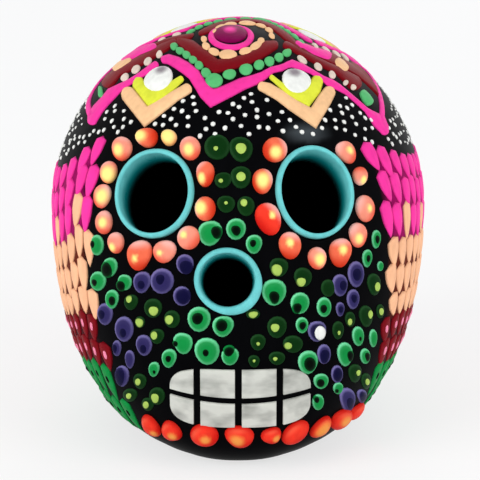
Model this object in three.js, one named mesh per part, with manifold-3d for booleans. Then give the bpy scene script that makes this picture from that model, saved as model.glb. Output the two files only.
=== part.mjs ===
// A painted sugar skull: a hollow clay head pressed in two halves, with collars in its three holes,
// eight teeth and rows of raised slip beads.
// Millimetres, +Z up, the face looks along -Y, the origin lies under the middle of the head.

import * as THREE from "three";
import { mergeVertices } from "three/addons/utils/BufferGeometryUtils.js";
import Module from "manifold-3d";

const wasm = await Module();
wasm.setup();

// Head, measured on the outside of the clay
const SKULL_WIDTH = 85;
const FACE_DEPTH = 47; // ear line to the front
const CRANIUM_DEPTH = 53; // ear line to the back
const WIDEST_HEIGHT = 52; // base to the widest section
const CROWN_RISE = 41; // widest section to the top
const BASE_WIDTH = 44; // across the foot, before its edge is rounded
const BASE_FRONT = 40; // ear line to the front of the foot, before its edge is rounded
const BASE_BACK = 26; // ear line to the back of the foot, likewise
const BASE_EDGE = 8; // radius round the foot
const WALL = 5;
const FLOOR = 6;
const CROWN_POWER = 1.93; // roundness of the upright section above the widest height
const JAW_POWER = 2.4; // roundness of the upright section below it
const FACE_POWER = 2.25; // roundness of the level section, in front and behind
const BACK_POWER = 2;

// Joint between the two halves
const CLEARANCE = 0.3; // between a piece and what carries it
const COIL_THICKNESS = 3;
const COIL_WIDTH = 7;

// Holes: their places on the face are hand cut, so the eyes are not quite a pair
const LEFT_EYE_X = -18.3;
const LEFT_EYE_RISE = 12; // widest section up to the eye
const LEFT_EYE_WIDTH = 19; // over its lip
const LEFT_EYE_HEIGHT = 20;
const RIGHT_EYE_X = 16.8;
const RIGHT_EYE_RISE = 12.4;
const RIGHT_EYE_WIDTH = 18.4;
const RIGHT_EYE_HEIGHT = 20.8;
const NOSE_X = -2.3;
const NOSE_DROP = 5.6; // widest section down to the nose
const NOSE_WIDTH = 14.4;
const NOSE_HEIGHT = 14.6;
const LIP_WIDTH = 1.6;
const LIP_PROUD = 1;
const SLEEVE_WALL = 0.9;

// Mouth
const MOUTH_X = 0.5;
const MOUTH_HEIGHT = 18.9; // base up to the middle of the mouth
const MOUTH_WIDTH = 30.6;
const MOUTH_OPENING = 14.6;
const MOUTH_POWER = 3.8; // roundness of the mouth's outline
const INNER_TOOTH_WIDTH = 7.5;
const TOOTH_GAP = 1.5;
const TOOTH_SHIFT = -0.4; // middle of the mouth to the gap between the inner teeth
const TOOTH_THICKNESS = 1;
const BITE_DROP = 0.8; // middle of the mouth down to the bite line
const BITE_SAG = 1.6; // rise of the bite line towards the corners

// Raised beads round the eyes and under the mouth, with their angles in degrees
const BEAD_WIDTH = 4.2; // across the row
const BEAD_LENGTH = 4.8; // along the row
const BEAD_HEIGHT = 1.2;
// Round an eye an angle starts at its right, seen from in front, and steps take the bead further from the lip
const LEFT_EYE_BEADS = [
  [139, 4], [111, 1], [86, 0], [59, 0], [27, 0], [-8, 0], [-42, 0], [-72, 0], [-100, 3], [-127, 5], [-149, 5],
  [-173, 3], [164, 2],
];
const RIGHT_EYE_BEADS = [
  [128, 0], [163, 0], [-160, 0], [-125, 0], [-93, 3], [-68, 4], [-44, 4], [-19, 2], [12, 0], [39, 0],
];
const RING_GAP = 0.4; // least distance from the lip to its beads
const RING_STEP = 0.33; // how much further from the lip a step takes a bead
// Under the mouth the angles start at straight ahead
const CHIN_BEADS = [-28, -20.5, -10, 0.5, 10, 17.5, 26.5, 36, 45];
const CHIN_BEAD_DROP = 9.6; // middle of the mouth down to the row

// White drops on the forehead and the knob of the crown, by their direction from the middle of the head
const BROW_DROP_WIDTH = 7;
const BROW_DROP_LENGTH = 6.4;
const BROW_DROP_ELEVATION = 50.8;
const LEFT_BROW_TURN = -39.5;
const RIGHT_BROW_TURN = 29.5;
const CROWN_KNOB_WIDTH = 8.4;
const CROWN_KNOB_LENGTH = 7.6;
const CROWN_KNOB_HEIGHT = 0.9;
const CROWN_KNOB_ELEVATION = 78.6;
const CROWN_KNOB_TURN = -12.5;

// Fineness of the facets
const ROUND_STEPS = 48;
const EDGE_STEPS = 3;
const JAW_STEPS = 7;
const CROWN_STEPS = 9;
const HOLE_STEPS = 40;
const MOUTH_STEPS = 40;
const BEAD_STEPS = 12;
const BEAD_RINGS = 3;

const SIDE = { widest: SKULL_WIDTH / 2, base: BASE_WIDTH / 2 };
const FRONT = { widest: FACE_DEPTH, base: BASE_FRONT };
const BACK = { widest: CRANIUM_DEPTH, base: BASE_BACK };
const FAR = 2 * (SKULL_WIDTH + FACE_DEPTH + CRANIUM_DEPTH + WIDEST_HEIGHT + CROWN_RISE);
const PLACE_TOLERANCE = 0.001;
const RIGHT = new THREE.Vector3(1, 0, 0);
const REAR = new THREE.Vector3(0, 1, 0);
const UP = new THREE.Vector3(0, 0, 1);
const { clamp, degToRad, lerp } = THREE.MathUtils;

const paint = (color, roughness) => new THREE.MeshStandardMaterial({ color, roughness, metalness: 0 });
const BLACK_GLAZE = paint(0x08080b, 0.35);
const BARE_CLAY = paint(0x6b4a38, 0.9);
const TURQUOISE = paint(0x4fcfd0, 0.4);
const TOOTH_WHITE = paint(0xd7d7d2, 0.5);
const BEAD_ORANGE = paint(0xf4604a, 0.4);
const DROP_WHITE = paint(0xf2f2f0, 0.4);
const KNOB_MAGENTA = paint(0xb0125e, 0.4);

// Solids

function solidOf(geometry) {
  const bare = geometry.clone();
  bare.deleteAttribute("normal");
  bare.deleteAttribute("uv");
  const merged = mergeVertices(bare);
  const corners = merged.index.array;
  const triangles = [];
  for (let i = 0; i < corners.length; i += 3) {
    const [a, b, c] = corners.slice(i, i + 3);
    if (a !== b && b !== c && c !== a) {
      triangles.push(a, b, c);
    }
  }
  return new wasm.Manifold(new wasm.Mesh({
    numProp: 3,
    vertProperties: merged.attributes.position.array,
    triVerts: new Uint32Array(triangles),
  }));
}

function geometryOf(solid) {
  const mesh = solid.getMesh();
  const geometry = new THREE.BufferGeometry();
  geometry.setAttribute("position", new THREE.BufferAttribute(mesh.vertProperties, 3));
  geometry.setIndex(new THREE.BufferAttribute(mesh.triVerts, 1));
  geometry.computeVertexNormals();
  return geometry;
}

// Shape of the head

// Distance from the upright axis to the skin at a height, on the side, the front or the back
function reach(profile, height, offset) {
  const widest = profile.widest + offset;
  const above = height - WIDEST_HEIGHT;
  if (above >= 0) {
    const share = Math.min(above / (CROWN_RISE + offset), 1);
    return widest * (1 - share ** CROWN_POWER) ** (1 / CROWN_POWER);
  }
  const base = profile.base + offset;
  const drop = WIDEST_HEIGHT / (1 - (base / widest) ** JAW_POWER) ** (1 / JAW_POWER);
  return widest * (1 - (-above / drop) ** JAW_POWER) ** (1 / JAW_POWER);
}

// How far the rounded edge draws the skin in near its floor
function edgeInset(height, floor) {
  const below = clamp(BASE_EDGE - (height - floor), 0, BASE_EDGE);
  return BASE_EDGE - Math.sqrt(BASE_EDGE ** 2 - below ** 2);
}

const signedPower = (value, power) => Math.sign(value) * Math.abs(value) ** power;

// A point of the skin at an angle round the axis, from +X through +Y
function skinPoint(angle, height, offset, floor) {
  const across = Math.cos(angle);
  const along = Math.sin(angle);
  const power = 2 / (along < 0 ? FACE_POWER : BACK_POWER);
  const inset = edgeInset(height, floor);
  const width = reach(SIDE, height, offset) - inset;
  const depth = reach(along < 0 ? FRONT : BACK, height, offset) - inset;
  return [width * signedPower(across, power), depth * signedPower(along, power), height];
}

function ringHeights(floor, top) {
  const heights = [];
  for (let i = 0; i < EDGE_STEPS; i++) {
    heights.push(floor + BASE_EDGE * (1 - Math.cos((i / EDGE_STEPS) * Math.PI / 2)));
  }
  for (let i = 0; i < JAW_STEPS; i++) {
    heights.push(lerp(floor + BASE_EDGE, WIDEST_HEIGHT, i / JAW_STEPS));
  }
  for (let i = 0; i < CROWN_STEPS; i++) {
    heights.push(WIDEST_HEIGHT + (top - WIDEST_HEIGHT) * Math.sin((i / CROWN_STEPS) * Math.PI / 2));
  }
  return heights;
}

// The closed head, grown or shrunk by an offset and standing on its own floor
function headSolid(offset, floor) {
  const top = WIDEST_HEIGHT + CROWN_RISE + offset;
  const heights = ringHeights(floor, top);
  const profile = heights.map((height) => new THREE.Vector2(1, height));
  profile.unshift(new THREE.Vector2(0, floor));
  profile.push(new THREE.Vector2(0, top));
  const geometry = new THREE.LatheGeometry(profile, ROUND_STEPS).rotateX(Math.PI / 2);
  const position = geometry.attributes.position;
  for (let i = 0; i < position.count; i++) {
    const x = position.getX(i);
    const y = position.getY(i);
    if (Math.hypot(x, y) > 0.5) {
      position.setXYZ(i, ...skinPoint(Math.atan2(y, x), position.getZ(i), offset, floor));
    }
  }
  return solidOf(geometry);
}

// Below 1 inside the head and above 1 outside it
function depthLevel(x, y, z) {
  const [profile, power] = y < 0 ? [FRONT, FACE_POWER] : [BACK, BACK_POWER];
  const inset = edgeInset(z, 0);
  const width = reach(SIDE, z, 0) - inset;
  const depth = reach(profile, z, 0) - inset;
  return (Math.abs(x) / width) ** power + (Math.abs(y) / depth) ** power;
}

// The place where a line from inside the head leaves it, and the direction straight out of the clay there
function placeAlong(inside, direction) {
  const point = new THREE.Vector3();
  let low = 0;
  let high = FAR;
  while (high - low > PLACE_TOLERANCE) {
    const middle = (low + high) / 2;
    point.copy(inside).addScaledVector(direction, middle);
    if (depthLevel(...point) < 1) {
      low = middle;
    } else {
      high = middle;
    }
  }
  const slope = (axis) => {
    const ahead = point.clone().addScaledVector(axis, PLACE_TOLERANCE);
    const behind = point.clone().addScaledVector(axis, -PLACE_TOLERANCE);
    return depthLevel(...ahead) - depthLevel(...behind);
  };
  return { point, normal: new THREE.Vector3(slope(RIGHT), slope(REAR), slope(UP)).normalize() };
}

// A place on the face by its distance to the side and its height
function facePlace(x, height) {
  return placeAlong(new THREE.Vector3(x, 0, height), REAR.clone().negate());
}

// A place on the front of the head by its direction from the middle of the widest section
function crownPlace(turn, elevation) {
  const direction = new THREE.Vector3();
  direction.setFromSphericalCoords(1, Math.PI / 2 - degToRad(elevation), degToRad(turn));
  return placeAlong(new THREE.Vector3(0, 0, WIDEST_HEIGHT), direction.applyAxisAngle(RIGHT, Math.PI / 2));
}

// Pieces

const skull = new THREE.Group();
skull.position.y = (FACE_DEPTH + LIP_PROUD - CRANIUM_DEPTH) / 2;

function addPiece(name, geometry, material) {
  const piece = new THREE.Mesh(geometry, material);
  piece.name = name;
  skull.add(piece);
  return piece;
}

// The level and the rising direction along the skin at a place
function skinAxes(normal) {
  const right = new THREE.Vector3().crossVectors(UP, normal).normalize();
  return { right, up: new THREE.Vector3().crossVectors(normal, right) };
}

// An oval bar through the clay at a hole, drawn in from the edge of its lip by an inset
function holeBar(hole, inset) {
  const { point, normal } = hole.place;
  const { right, up } = skinAxes(normal);
  const bar = new THREE.CylinderGeometry(1, 1, FACE_DEPTH, HOLE_STEPS).rotateX(Math.PI / 2);
  bar.scale(hole.width / 2 - inset, hole.height / 2 - inset, 1);
  bar.applyMatrix4(new THREE.Matrix4().makeBasis(right, up, normal).setPosition(point));
  return solidOf(bar);
}

const LEFT_EYE = {
  place: facePlace(LEFT_EYE_X, WIDEST_HEIGHT + LEFT_EYE_RISE),
  width: LEFT_EYE_WIDTH,
  height: LEFT_EYE_HEIGHT,
};
const RIGHT_EYE = {
  place: facePlace(RIGHT_EYE_X, WIDEST_HEIGHT + RIGHT_EYE_RISE),
  width: RIGHT_EYE_WIDTH,
  height: RIGHT_EYE_HEIGHT,
};
const NOSE = { place: facePlace(NOSE_X, WIDEST_HEIGHT - NOSE_DROP), width: NOSE_WIDTH, height: NOSE_HEIGHT };
const HOLES = { left_eye_collar: LEFT_EYE, right_eye_collar: RIGHT_EYE, nose_collar: NOSE };
const SLEEVE_INSET = LIP_WIDTH - SLEEVE_WALL;

const outside = headSolid(0, 0);
const cavity = headSolid(-WALL, FLOOR);
const aboveSkin = headSolid(CLEARANCE, -CLEARANCE);

// The slice of space in front of or behind an upright plane
function halfSpace(y, towards) {
  const box = new THREE.BoxGeometry(FAR, FAR, FAR);
  box.translate(0, y + towards * FAR / 2, 0);
  return solidOf(box);
}

function addShellHalves() {
  let shell = outside.subtract(cavity);
  for (const hole of Object.values(HOLES)) {
    shell = shell.subtract(holeBar(hole, SLEEVE_INSET - CLEARANCE));
  }
  const face = shell.intersect(halfSpace(-CLEARANCE / 2, -1));
  const cranium = shell.intersect(halfSpace(CLEARANCE / 2, 1));
  addPiece("face_half", geometryOf(face), BLACK_GLAZE);
  addPiece("cranium_half", geometryOf(cranium), BLACK_GLAZE);
}

// The coil of clay that is pressed over the seam from inside
function addSeamCoil() {
  const outer = headSolid(-WALL - CLEARANCE, FLOOR + CLEARANCE);
  const inner = headSolid(-WALL - CLEARANCE - COIL_THICKNESS, FLOOR + CLEARANCE + COIL_THICKNESS);
  const ring = outer.subtract(inner)
    .intersect(halfSpace(COIL_WIDTH / 2, -1))
    .intersect(halfSpace(-COIL_WIDTH / 2, 1));
  addPiece("seam_coil", geometryOf(ring), BARE_CLAY);
}

// A sleeve through the wall with a raised lip round the outside of the hole
function addCollars() {
  const lipSkin = headSolid(CLEARANCE + LIP_PROUD, -CLEARANCE - LIP_PROUD);
  for (const [name, hole] of Object.entries(HOLES)) {
    const opening = holeBar(hole, LIP_WIDTH);
    const lip = holeBar(hole, 0).intersect(lipSkin).subtract(aboveSkin);
    const sleeve = holeBar(hole, SLEEVE_INSET).intersect(lipSkin).subtract(cavity);
    addPiece(name, geometryOf(lip.add(sleeve).subtract(opening)), TURQUOISE);
  }
}

// Teeth: cells of the mouth's outline, laid on the face
function uprightPrism(outline) {
  const prism = new THREE.ExtrudeGeometry(outline, { depth: FAR, bevelEnabled: false });
  return solidOf(prism.rotateX(Math.PI / 2));
}

function mouthOutline() {
  const points = [];
  for (let i = 0; i < MOUTH_STEPS; i++) {
    const angle = (i / MOUTH_STEPS) * 2 * Math.PI;
    points.push(new THREE.Vector2(
      MOUTH_X + (MOUTH_WIDTH / 2) * signedPower(Math.cos(angle), 2 / MOUTH_POWER),
      MOUTH_HEIGHT + (MOUTH_OPENING / 2) * signedPower(Math.sin(angle), 2 / MOUTH_POWER),
    ));
  }
  return new THREE.Shape(points);
}

function toothCell(from, to, row) {
  const sag = (x) => BITE_SAG * (x / (MOUTH_WIDTH / 2)) ** 2;
  const bite = (x) => MOUTH_HEIGHT - BITE_DROP + sag(x) + row * TOOTH_GAP / 2;
  const end = MOUTH_HEIGHT + row * MOUTH_OPENING;
  return new THREE.Shape([
    new THREE.Vector2(MOUTH_X + from, bite(from)),
    new THREE.Vector2(MOUTH_X + to, bite(to)),
    new THREE.Vector2(MOUTH_X + to, end),
    new THREE.Vector2(MOUTH_X + from, end),
  ]);
}

function addTeeth() {
  const front = headSolid(CLEARANCE + TOOTH_THICKNESS, -CLEARANCE - TOOTH_THICKNESS);
  const mouth = uprightPrism(mouthOutline()).intersect(front).subtract(aboveSkin);
  const innerEnd = TOOTH_GAP / 2 + INNER_TOOTH_WIDTH;
  const cells = [
    [-MOUTH_WIDTH, -innerEnd - TOOTH_GAP],
    [-innerEnd, -TOOTH_GAP / 2],
    [TOOTH_GAP / 2, innerEnd],
    [innerEnd + TOOTH_GAP, MOUTH_WIDTH],
  ];
  for (const [row, side] of [["upper", 1], ["lower", -1]]) {
    cells.forEach(([from, to], i) => {
      const cell = toothCell(from + TOOTH_SHIFT, to + TOOTH_SHIFT, side);
      const tooth = mouth.intersect(uprightPrism(cell));
      addPiece(`${row}_tooth_${i + 1}`, geometryOf(tooth), TOOTH_WHITE);
    });
  }
}

// A flat-bottomed dome, its width along X and its length along Y
function domeGeometry(width, length, height) {
  const profile = [new THREE.Vector2(0, 0)];
  for (let i = 0; i < BEAD_RINGS; i++) {
    const angle = (i / BEAD_RINGS) * Math.PI / 2;
    profile.push(new THREE.Vector2(Math.cos(angle) / 2, height * Math.sin(angle)));
  }
  profile.push(new THREE.Vector2(0, height));
  const dome = new THREE.LatheGeometry(profile, BEAD_STEPS).rotateX(Math.PI / 2).scale(width, length, 1);
  return geometryOf(solidOf(dome));
}

// A dome seated on the skin, with its length along a row that runs in the given direction
function addDome(name, place, row, geometry, material) {
  const dome = addPiece(name, geometry, material);
  const across = new THREE.Vector3().crossVectors(row, place.normal).normalize();
  const along = new THREE.Vector3().crossVectors(place.normal, across);
  dome.quaternion.setFromRotationMatrix(new THREE.Matrix4().makeBasis(across, along, place.normal));
  dome.position.copy(place.point).addScaledVector(place.normal, CLEARANCE);
}

const bead = domeGeometry(BEAD_WIDTH, BEAD_LENGTH, BEAD_HEIGHT);

// Beads round an eye, on ovals that clear its lip
function addEyeBeads(name, hole, beads) {
  const { point, normal } = hole.place;
  const { right, up } = skinAxes(normal);
  beads.forEach(([degrees, steps], i) => {
    const angle = degToRad(degrees);
    const out = RING_GAP + steps * RING_STEP + BEAD_WIDTH / 2;
    const spot = point.clone()
      .addScaledVector(right, (hole.width / 2 + out) * Math.cos(angle))
      .addScaledVector(up, (hole.height / 2 + out) * Math.sin(angle));
    const along = right.clone().multiplyScalar(-Math.sin(angle)).addScaledVector(up, Math.cos(angle));
    const place = placeAlong(spot.addScaledVector(normal, -hole.width / 2), normal);
    addDome(`${name}_bead_${i + 1}`, place, along, bead, BEAD_ORANGE);
  });
}

// Beads in a level row under the mouth
function addChinBeads() {
  const inside = new THREE.Vector3(0, 0, MOUTH_HEIGHT - CHIN_BEAD_DROP);
  CHIN_BEADS.forEach((turn, i) => {
    const direction = REAR.clone().negate().applyAxisAngle(UP, degToRad(turn));
    addDome(`chin_bead_${i + 1}`, placeAlong(inside, direction), RIGHT, bead, BEAD_ORANGE);
  });
}

function addCrownDrops() {
  const drop = domeGeometry(BROW_DROP_LENGTH, BROW_DROP_WIDTH, BEAD_HEIGHT);
  addDome("left_brow_drop", crownPlace(LEFT_BROW_TURN, BROW_DROP_ELEVATION), RIGHT, drop, DROP_WHITE);
  addDome("right_brow_drop", crownPlace(RIGHT_BROW_TURN, BROW_DROP_ELEVATION), RIGHT, drop, DROP_WHITE);
  const knob = domeGeometry(CROWN_KNOB_LENGTH, CROWN_KNOB_WIDTH, CROWN_KNOB_HEIGHT);
  const crown = crownPlace(CROWN_KNOB_TURN, CROWN_KNOB_ELEVATION);
  addDome("crown_knob", crown, RIGHT, knob, KNOB_MAGENTA);
}

addShellHalves();
addSeamCoil();
addCollars();
addTeeth();
addEyeBeads("left_eye", LEFT_EYE, LEFT_EYE_BEADS);
addEyeBeads("right_eye", RIGHT_EYE, RIGHT_EYE_BEADS);
addChinBeads();
addCrownDrops();

export default skull;
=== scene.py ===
"""Finish of a painted sugar skull: clay shell, collars, teeth and beads, and the dots and strokes on it."""

import math
import random
from typing import NamedTuple

import bmesh
import bpy
from bpy.props import FloatProperty, FloatVectorProperty, PointerProperty
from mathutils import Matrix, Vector


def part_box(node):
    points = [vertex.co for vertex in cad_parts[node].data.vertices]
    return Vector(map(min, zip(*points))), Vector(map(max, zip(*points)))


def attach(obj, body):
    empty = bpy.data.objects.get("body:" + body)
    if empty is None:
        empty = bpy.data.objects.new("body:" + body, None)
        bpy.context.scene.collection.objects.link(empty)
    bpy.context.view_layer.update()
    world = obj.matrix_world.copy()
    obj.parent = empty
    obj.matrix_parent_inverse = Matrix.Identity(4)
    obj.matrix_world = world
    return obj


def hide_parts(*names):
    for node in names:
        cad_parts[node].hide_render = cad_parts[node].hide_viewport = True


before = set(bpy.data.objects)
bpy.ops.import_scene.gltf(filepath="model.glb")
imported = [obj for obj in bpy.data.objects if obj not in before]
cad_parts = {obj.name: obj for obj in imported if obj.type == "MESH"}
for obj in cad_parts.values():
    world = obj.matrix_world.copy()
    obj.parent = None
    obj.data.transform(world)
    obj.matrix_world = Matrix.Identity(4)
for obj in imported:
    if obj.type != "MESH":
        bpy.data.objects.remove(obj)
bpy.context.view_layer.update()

bl_info = {
    "name": "Painted sugar skull",
    "version": (1, 0, 0),
    "blender": (4, 5, 0),
    "location": "3D View > Sidebar > Skull",
    "description": "Dresses the clay skull with its glaze, collars, teeth, beads, dots and strokes of paint",
    "category": "Add Mesh",
}

BODY = "root"
MM = 0.001
FULL_TURN = 360
HALF_TURN = 180

# Seeds of the unevenness that a hand leaves
SEEDS = {"collars": 7, "beads": 11, "dots": 3, "panels": 5, "drops": 17, "star": 23, "specks": 29}

# What model.glb says of the two halves of the shell
FACE_LOW, FACE_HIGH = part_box("face_half")
CRANIUM_LOW, CRANIUM_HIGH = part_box("cranium_half")
SEAM_Y = (FACE_HIGH.y + CRANIUM_LOW.y) / 2
SKULL_TOP = max(FACE_HIGH.z, CRANIUM_HIGH.z)
WIDEST_HEIGHT = 52 * MM

# Roundness of the head's sections: upright above and below the widest height, level in front and behind
CROWN_POWER = 1.93
JAW_POWER = 2.4
FACE_POWER = 2.25
BACK_POWER = 2.0
CROWN_ELEVATION = math.radians(77)

# The star's back half: how much wider it spreads, the tilts between which that sets in, and where it begins
BACK_FLARE = 14.0
FLARE_TILTS = (30, 50)
BACK_BEARING = 95

# The camera of the photograph
PHOTO_SIZE = 480
CAMERA_DISTANCE = 601.3 * MM
CAMERA_ELEVATION = math.radians(16)
CAMERA_AIM = Vector((0.46 * MM, SEAM_Y, 41.8 * MM))
CAMERA_LENS = 194.2
CAMERA_SENSOR = 36.0
CAMERA_NEAR = 10 * MM

# Fineness of the meshes
SHELL_COLUMNS = 192
SHELL_ROWS = {"foot": 5, "edge": 6, "jaw": 30, "crown": 40}
LIP_STEPS = 72
BEAD_STEPS = 22
BEAD_RINGS = 14
DOT_STEPS = 16
DOT_RINGS = 8
SPECK_STEPS = 7
SPECK_RINGS = 4
STROKE_STEPS = 8
STROKE_SECTION = 8
SLOPE_STEP = 0.02 * MM
WELD = 0.002 * MM


# Sizes and colours that a user would change

def length(name, description, default):
    """A length in metres, shown in the scene's units."""
    return FloatProperty(
        name=name, description=description, default=default, precision=5, unit="LENGTH", subtype="DISTANCE",
    )


def linear(red, green, blue):
    """A colour of the screen, 0 to 255, as the light that it stands for."""
    channels = []
    for value in (red, green, blue):
        share = value / 255
        channels.append(share / 12.92 if share <= 0.04045 else ((share + 0.055) / 1.055) ** 2.4)
    return channels


def colour(name, description, red, green, blue):
    """A colour, written as the screen shows it."""
    return FloatVectorProperty(
        name=name, description=description, default=linear(red, green, blue), size=3, min=0.0, max=1.0,
        subtype="COLOR",
    )


class SkullSizes(bpy.types.PropertyGroup):
    """Sizes of the clay and of what lies on it."""

    width: length("Width", "Ear to ear", FACE_HIGH.x - FACE_LOW.x)
    face_depth: length("Face depth", "Ear line to the front", SEAM_Y - FACE_LOW.y)
    cranium_depth: length("Cranium depth", "Ear line to the back", CRANIUM_HIGH.y - SEAM_Y)
    crown_rise: length("Crown rise", "Widest section to the top", SKULL_TOP - WIDEST_HEIGHT)
    base_width: length("Base width", "Across the foot, before its edge is rounded", 44 * MM)
    base_front: length("Base front", "Ear line to the front of the foot, likewise", 40 * MM)
    base_back: length("Base back", "Ear line to the back of the foot, likewise", 26 * MM)
    base_edge: length("Base edge", "Radius round the foot", 8 * MM)
    wall: length("Wall", "Thickness of the clay", 5 * MM)
    floor: length("Floor", "Thickness of the foot", 6 * MM)
    coil: length("Coil", "Thickness of the coil over the seam", 3 * MM)
    left_eye_x: length("Left eye", "Sideways place of the left eye", -18.3 * MM)
    left_eye_height: length("Left eye height", "Base to its middle", 64 * MM)
    left_eye_width: length("Left eye width", "Across its lip", 19 * MM)
    left_eye_tall: length("Left eye length", "Top to bottom of its lip", 20 * MM)
    right_eye_x: length("Right eye", "Sideways place of the right eye", 16.8 * MM)
    right_eye_height: length("Right eye height", "Base to its middle", 64.4 * MM)
    right_eye_width: length("Right eye width", "Across its lip", 18.4 * MM)
    right_eye_tall: length("Right eye length", "Top to bottom of its lip", 20.8 * MM)
    nose_x: length("Nose", "Sideways place of the nose", -2.3 * MM)
    nose_height: length("Nose height", "Base to its middle", 46.4 * MM)
    nose_width: length("Nose width", "Across its lip", 14.4 * MM)
    nose_tall: length("Nose length", "Top to bottom of its lip", 14.6 * MM)
    lip_width: length("Lip width", "Collar's edge to its opening", 1.2 * MM)
    lip_proud: length("Lip proud", "Height of a collar above the clay", 1.2 * MM)
    sleeve: length("Sleeve", "Thickness of a collar's sleeve", 0.7 * MM)
    mouth_x: length("Mouth", "Sideways place of the mouth's middle", 0.5 * MM)
    mouth_height: length("Mouth height", "Base to the middle of the mouth", 18.9 * MM)
    mouth_width: length("Mouth width", "Corner to corner", 30.6 * MM)
    mouth_opening: length("Mouth opening", "Top to bottom", 14.6 * MM)
    upper_dip: length("Upper dip", "Dip of the upper teeth's tops in the mouth's middle", 0.6 * MM)
    bite_drop: length("Bite drop", "Middle of the mouth down to the bite line", 0.8 * MM)
    bite_sag: length("Bite sag", "Rise of the bite line towards the corners", 1.6 * MM)
    tooth_width: length("Tooth width", "A middle tooth, side to side", 7.5 * MM)
    tooth_gap: length("Tooth gap", "Between two teeth", 1.5 * MM)
    tooth_shift: length("Tooth shift", "Middle of the mouth to the gap of the inner teeth", -0.4 * MM)
    tooth_proud: length("Tooth proud", "Height of a tooth above the clay", 0.55 * MM)
    bead_height: length("Bead height", "Height of a raised bead", 1.4 * MM)
    knob_height: length("Knob height", "Height of the crown's knob", 0.75 * MM)
    drop_height: length("Drop height", "Height of a white drop", 1 * MM)
    dot_height: length("Dot height", "Height of a dot of paint", 0.5 * MM)
    stroke_width: length("Stroke width", "A stroke of the side panels", 4.3 * MM)
    stroke_pitch: length("Stroke pitch", "Stroke to stroke in a row", 4.2 * MM)
    stroke_height: length("Stroke height", "Height of a stroke of paint", 0.4 * MM)
    speck_width: length("Speck width", "A fine white dot", 1.12 * MM)
    speck_pitch: length("Speck pitch", "Speck to speck", 2.5 * MM)


class SkullColours(bpy.types.PropertyGroup):
    """Colours of the clay and of the paints."""

    black: colour("Black", "Ground glaze", 5, 5, 7)
    clay: colour("Clay", "Bare clay, seen at the foot", 122, 84, 62)
    turquoise: colour("Turquoise", "Collars", 108, 203, 204)
    # Teal and shade are painted shade down the collars' sleeves: teal nearer the lip, then near black
    painted_shade_teal: colour("Teal", "Upper part of the sleeves", 10, 130, 132)
    shade: colour("Shade", "Depth of the sleeves", 0, 3, 3)
    silver: colour("Silver", "Teeth", 203, 204, 196)
    # Coral, rust and crimson are painted shade on the beads' sides away from the light; the pale pink is a
    # painted highlight on their lit sides
    salmon: colour("Salmon", "Paler beads", 248, 148, 124)
    coral: colour("Coral", "Shaded side of the paler beads", 230, 92, 68)
    orange: colour("Orange", "Beads", 244, 110, 78)
    rust: colour("Rust", "Shaded side of the beads", 208, 54, 28)
    red: colour("Red", "Redder beads", 242, 58, 40)
    crimson: colour("Crimson", "Shaded side of the redder beads", 206, 26, 18)
    blush: colour("Blush", "Pale side of the beads", 252, 188, 178)
    yellow: colour("Yellow", "Hearts of the beads", 254, 236, 138)
    amber: colour("Amber", "Hearts of the chin beads", 238, 152, 72)
    white: colour("White", "Drops and specks", 241, 242, 237)
    cream: colour("Cream", "Pale dots of the crown", 232, 214, 198)
    # Grey lies over the upper part of each white drop, set as its heart
    grey: colour("Grey", "Thin tops of the white drops", 142, 132, 138)
    magenta: colour("Magenta", "Knob of the crown", 126, 0, 74)
    pink: colour("Pink", "Bands and upper strokes", 250, 58, 162)
    peach: colour("Peach", "Chevrons and petals of the crown", 250, 200, 150)
    apricot: colour("Apricot", "Middle strokes of the panels", 251, 190, 148)
    maroon: colour("Maroon", "Lower strokes and inner band", 122, 10, 22)
    rose: colour("Rose", "Hearts of the maroon strokes", 246, 140, 172)
    green: colour("Green", "Light dots and lowest strokes", 16, 138, 64)
    # Mint is a lighter paint round the edges of the light dots, heavier on their lit sides as a painted
    # highlight
    mint: colour("Mint", "Edges of the light dots", 120, 224, 166)
    jade: colour("Jade", "Dots of the crown", 90, 188, 116)
    forest: colour("Forest", "Hearts of the light dots", 0, 8, 2)
    dark_green: colour("Dark green", "Dark dots", 7, 46, 11)
    # Moss is likewise a lighter edge of the dark dots, heavier on their lit sides as a painted highlight
    moss: colour("Moss", "Edges of the dark dots", 30, 70, 34)
    pale_green: colour("Pale green", "Hearts of the dark dots", 172, 202, 96)
    purple: colour("Purple", "Purple dots", 44, 38, 88)
    # Lilac is likewise a lighter edge of the purple dots, heavier on their lit sides as a painted highlight
    lilac: colour("Lilac", "Edges of the purple dots", 122, 114, 170)
    navy: colour("Navy", "Hearts of the purple dots", 12, 10, 50)
    lime: colour("Lime", "Chevrons under the white drops", 226, 232, 66)
    # A painted reflection of a lamp, grey on the glaze over the right eye
    painted_sheen: colour("Haze", "Dull patch of the glaze over the right eye", 74, 80, 84)
    floor: colour("Floor", "Studio floor", 250, 250, 250)


# The outside of the clay, as a formula

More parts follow.
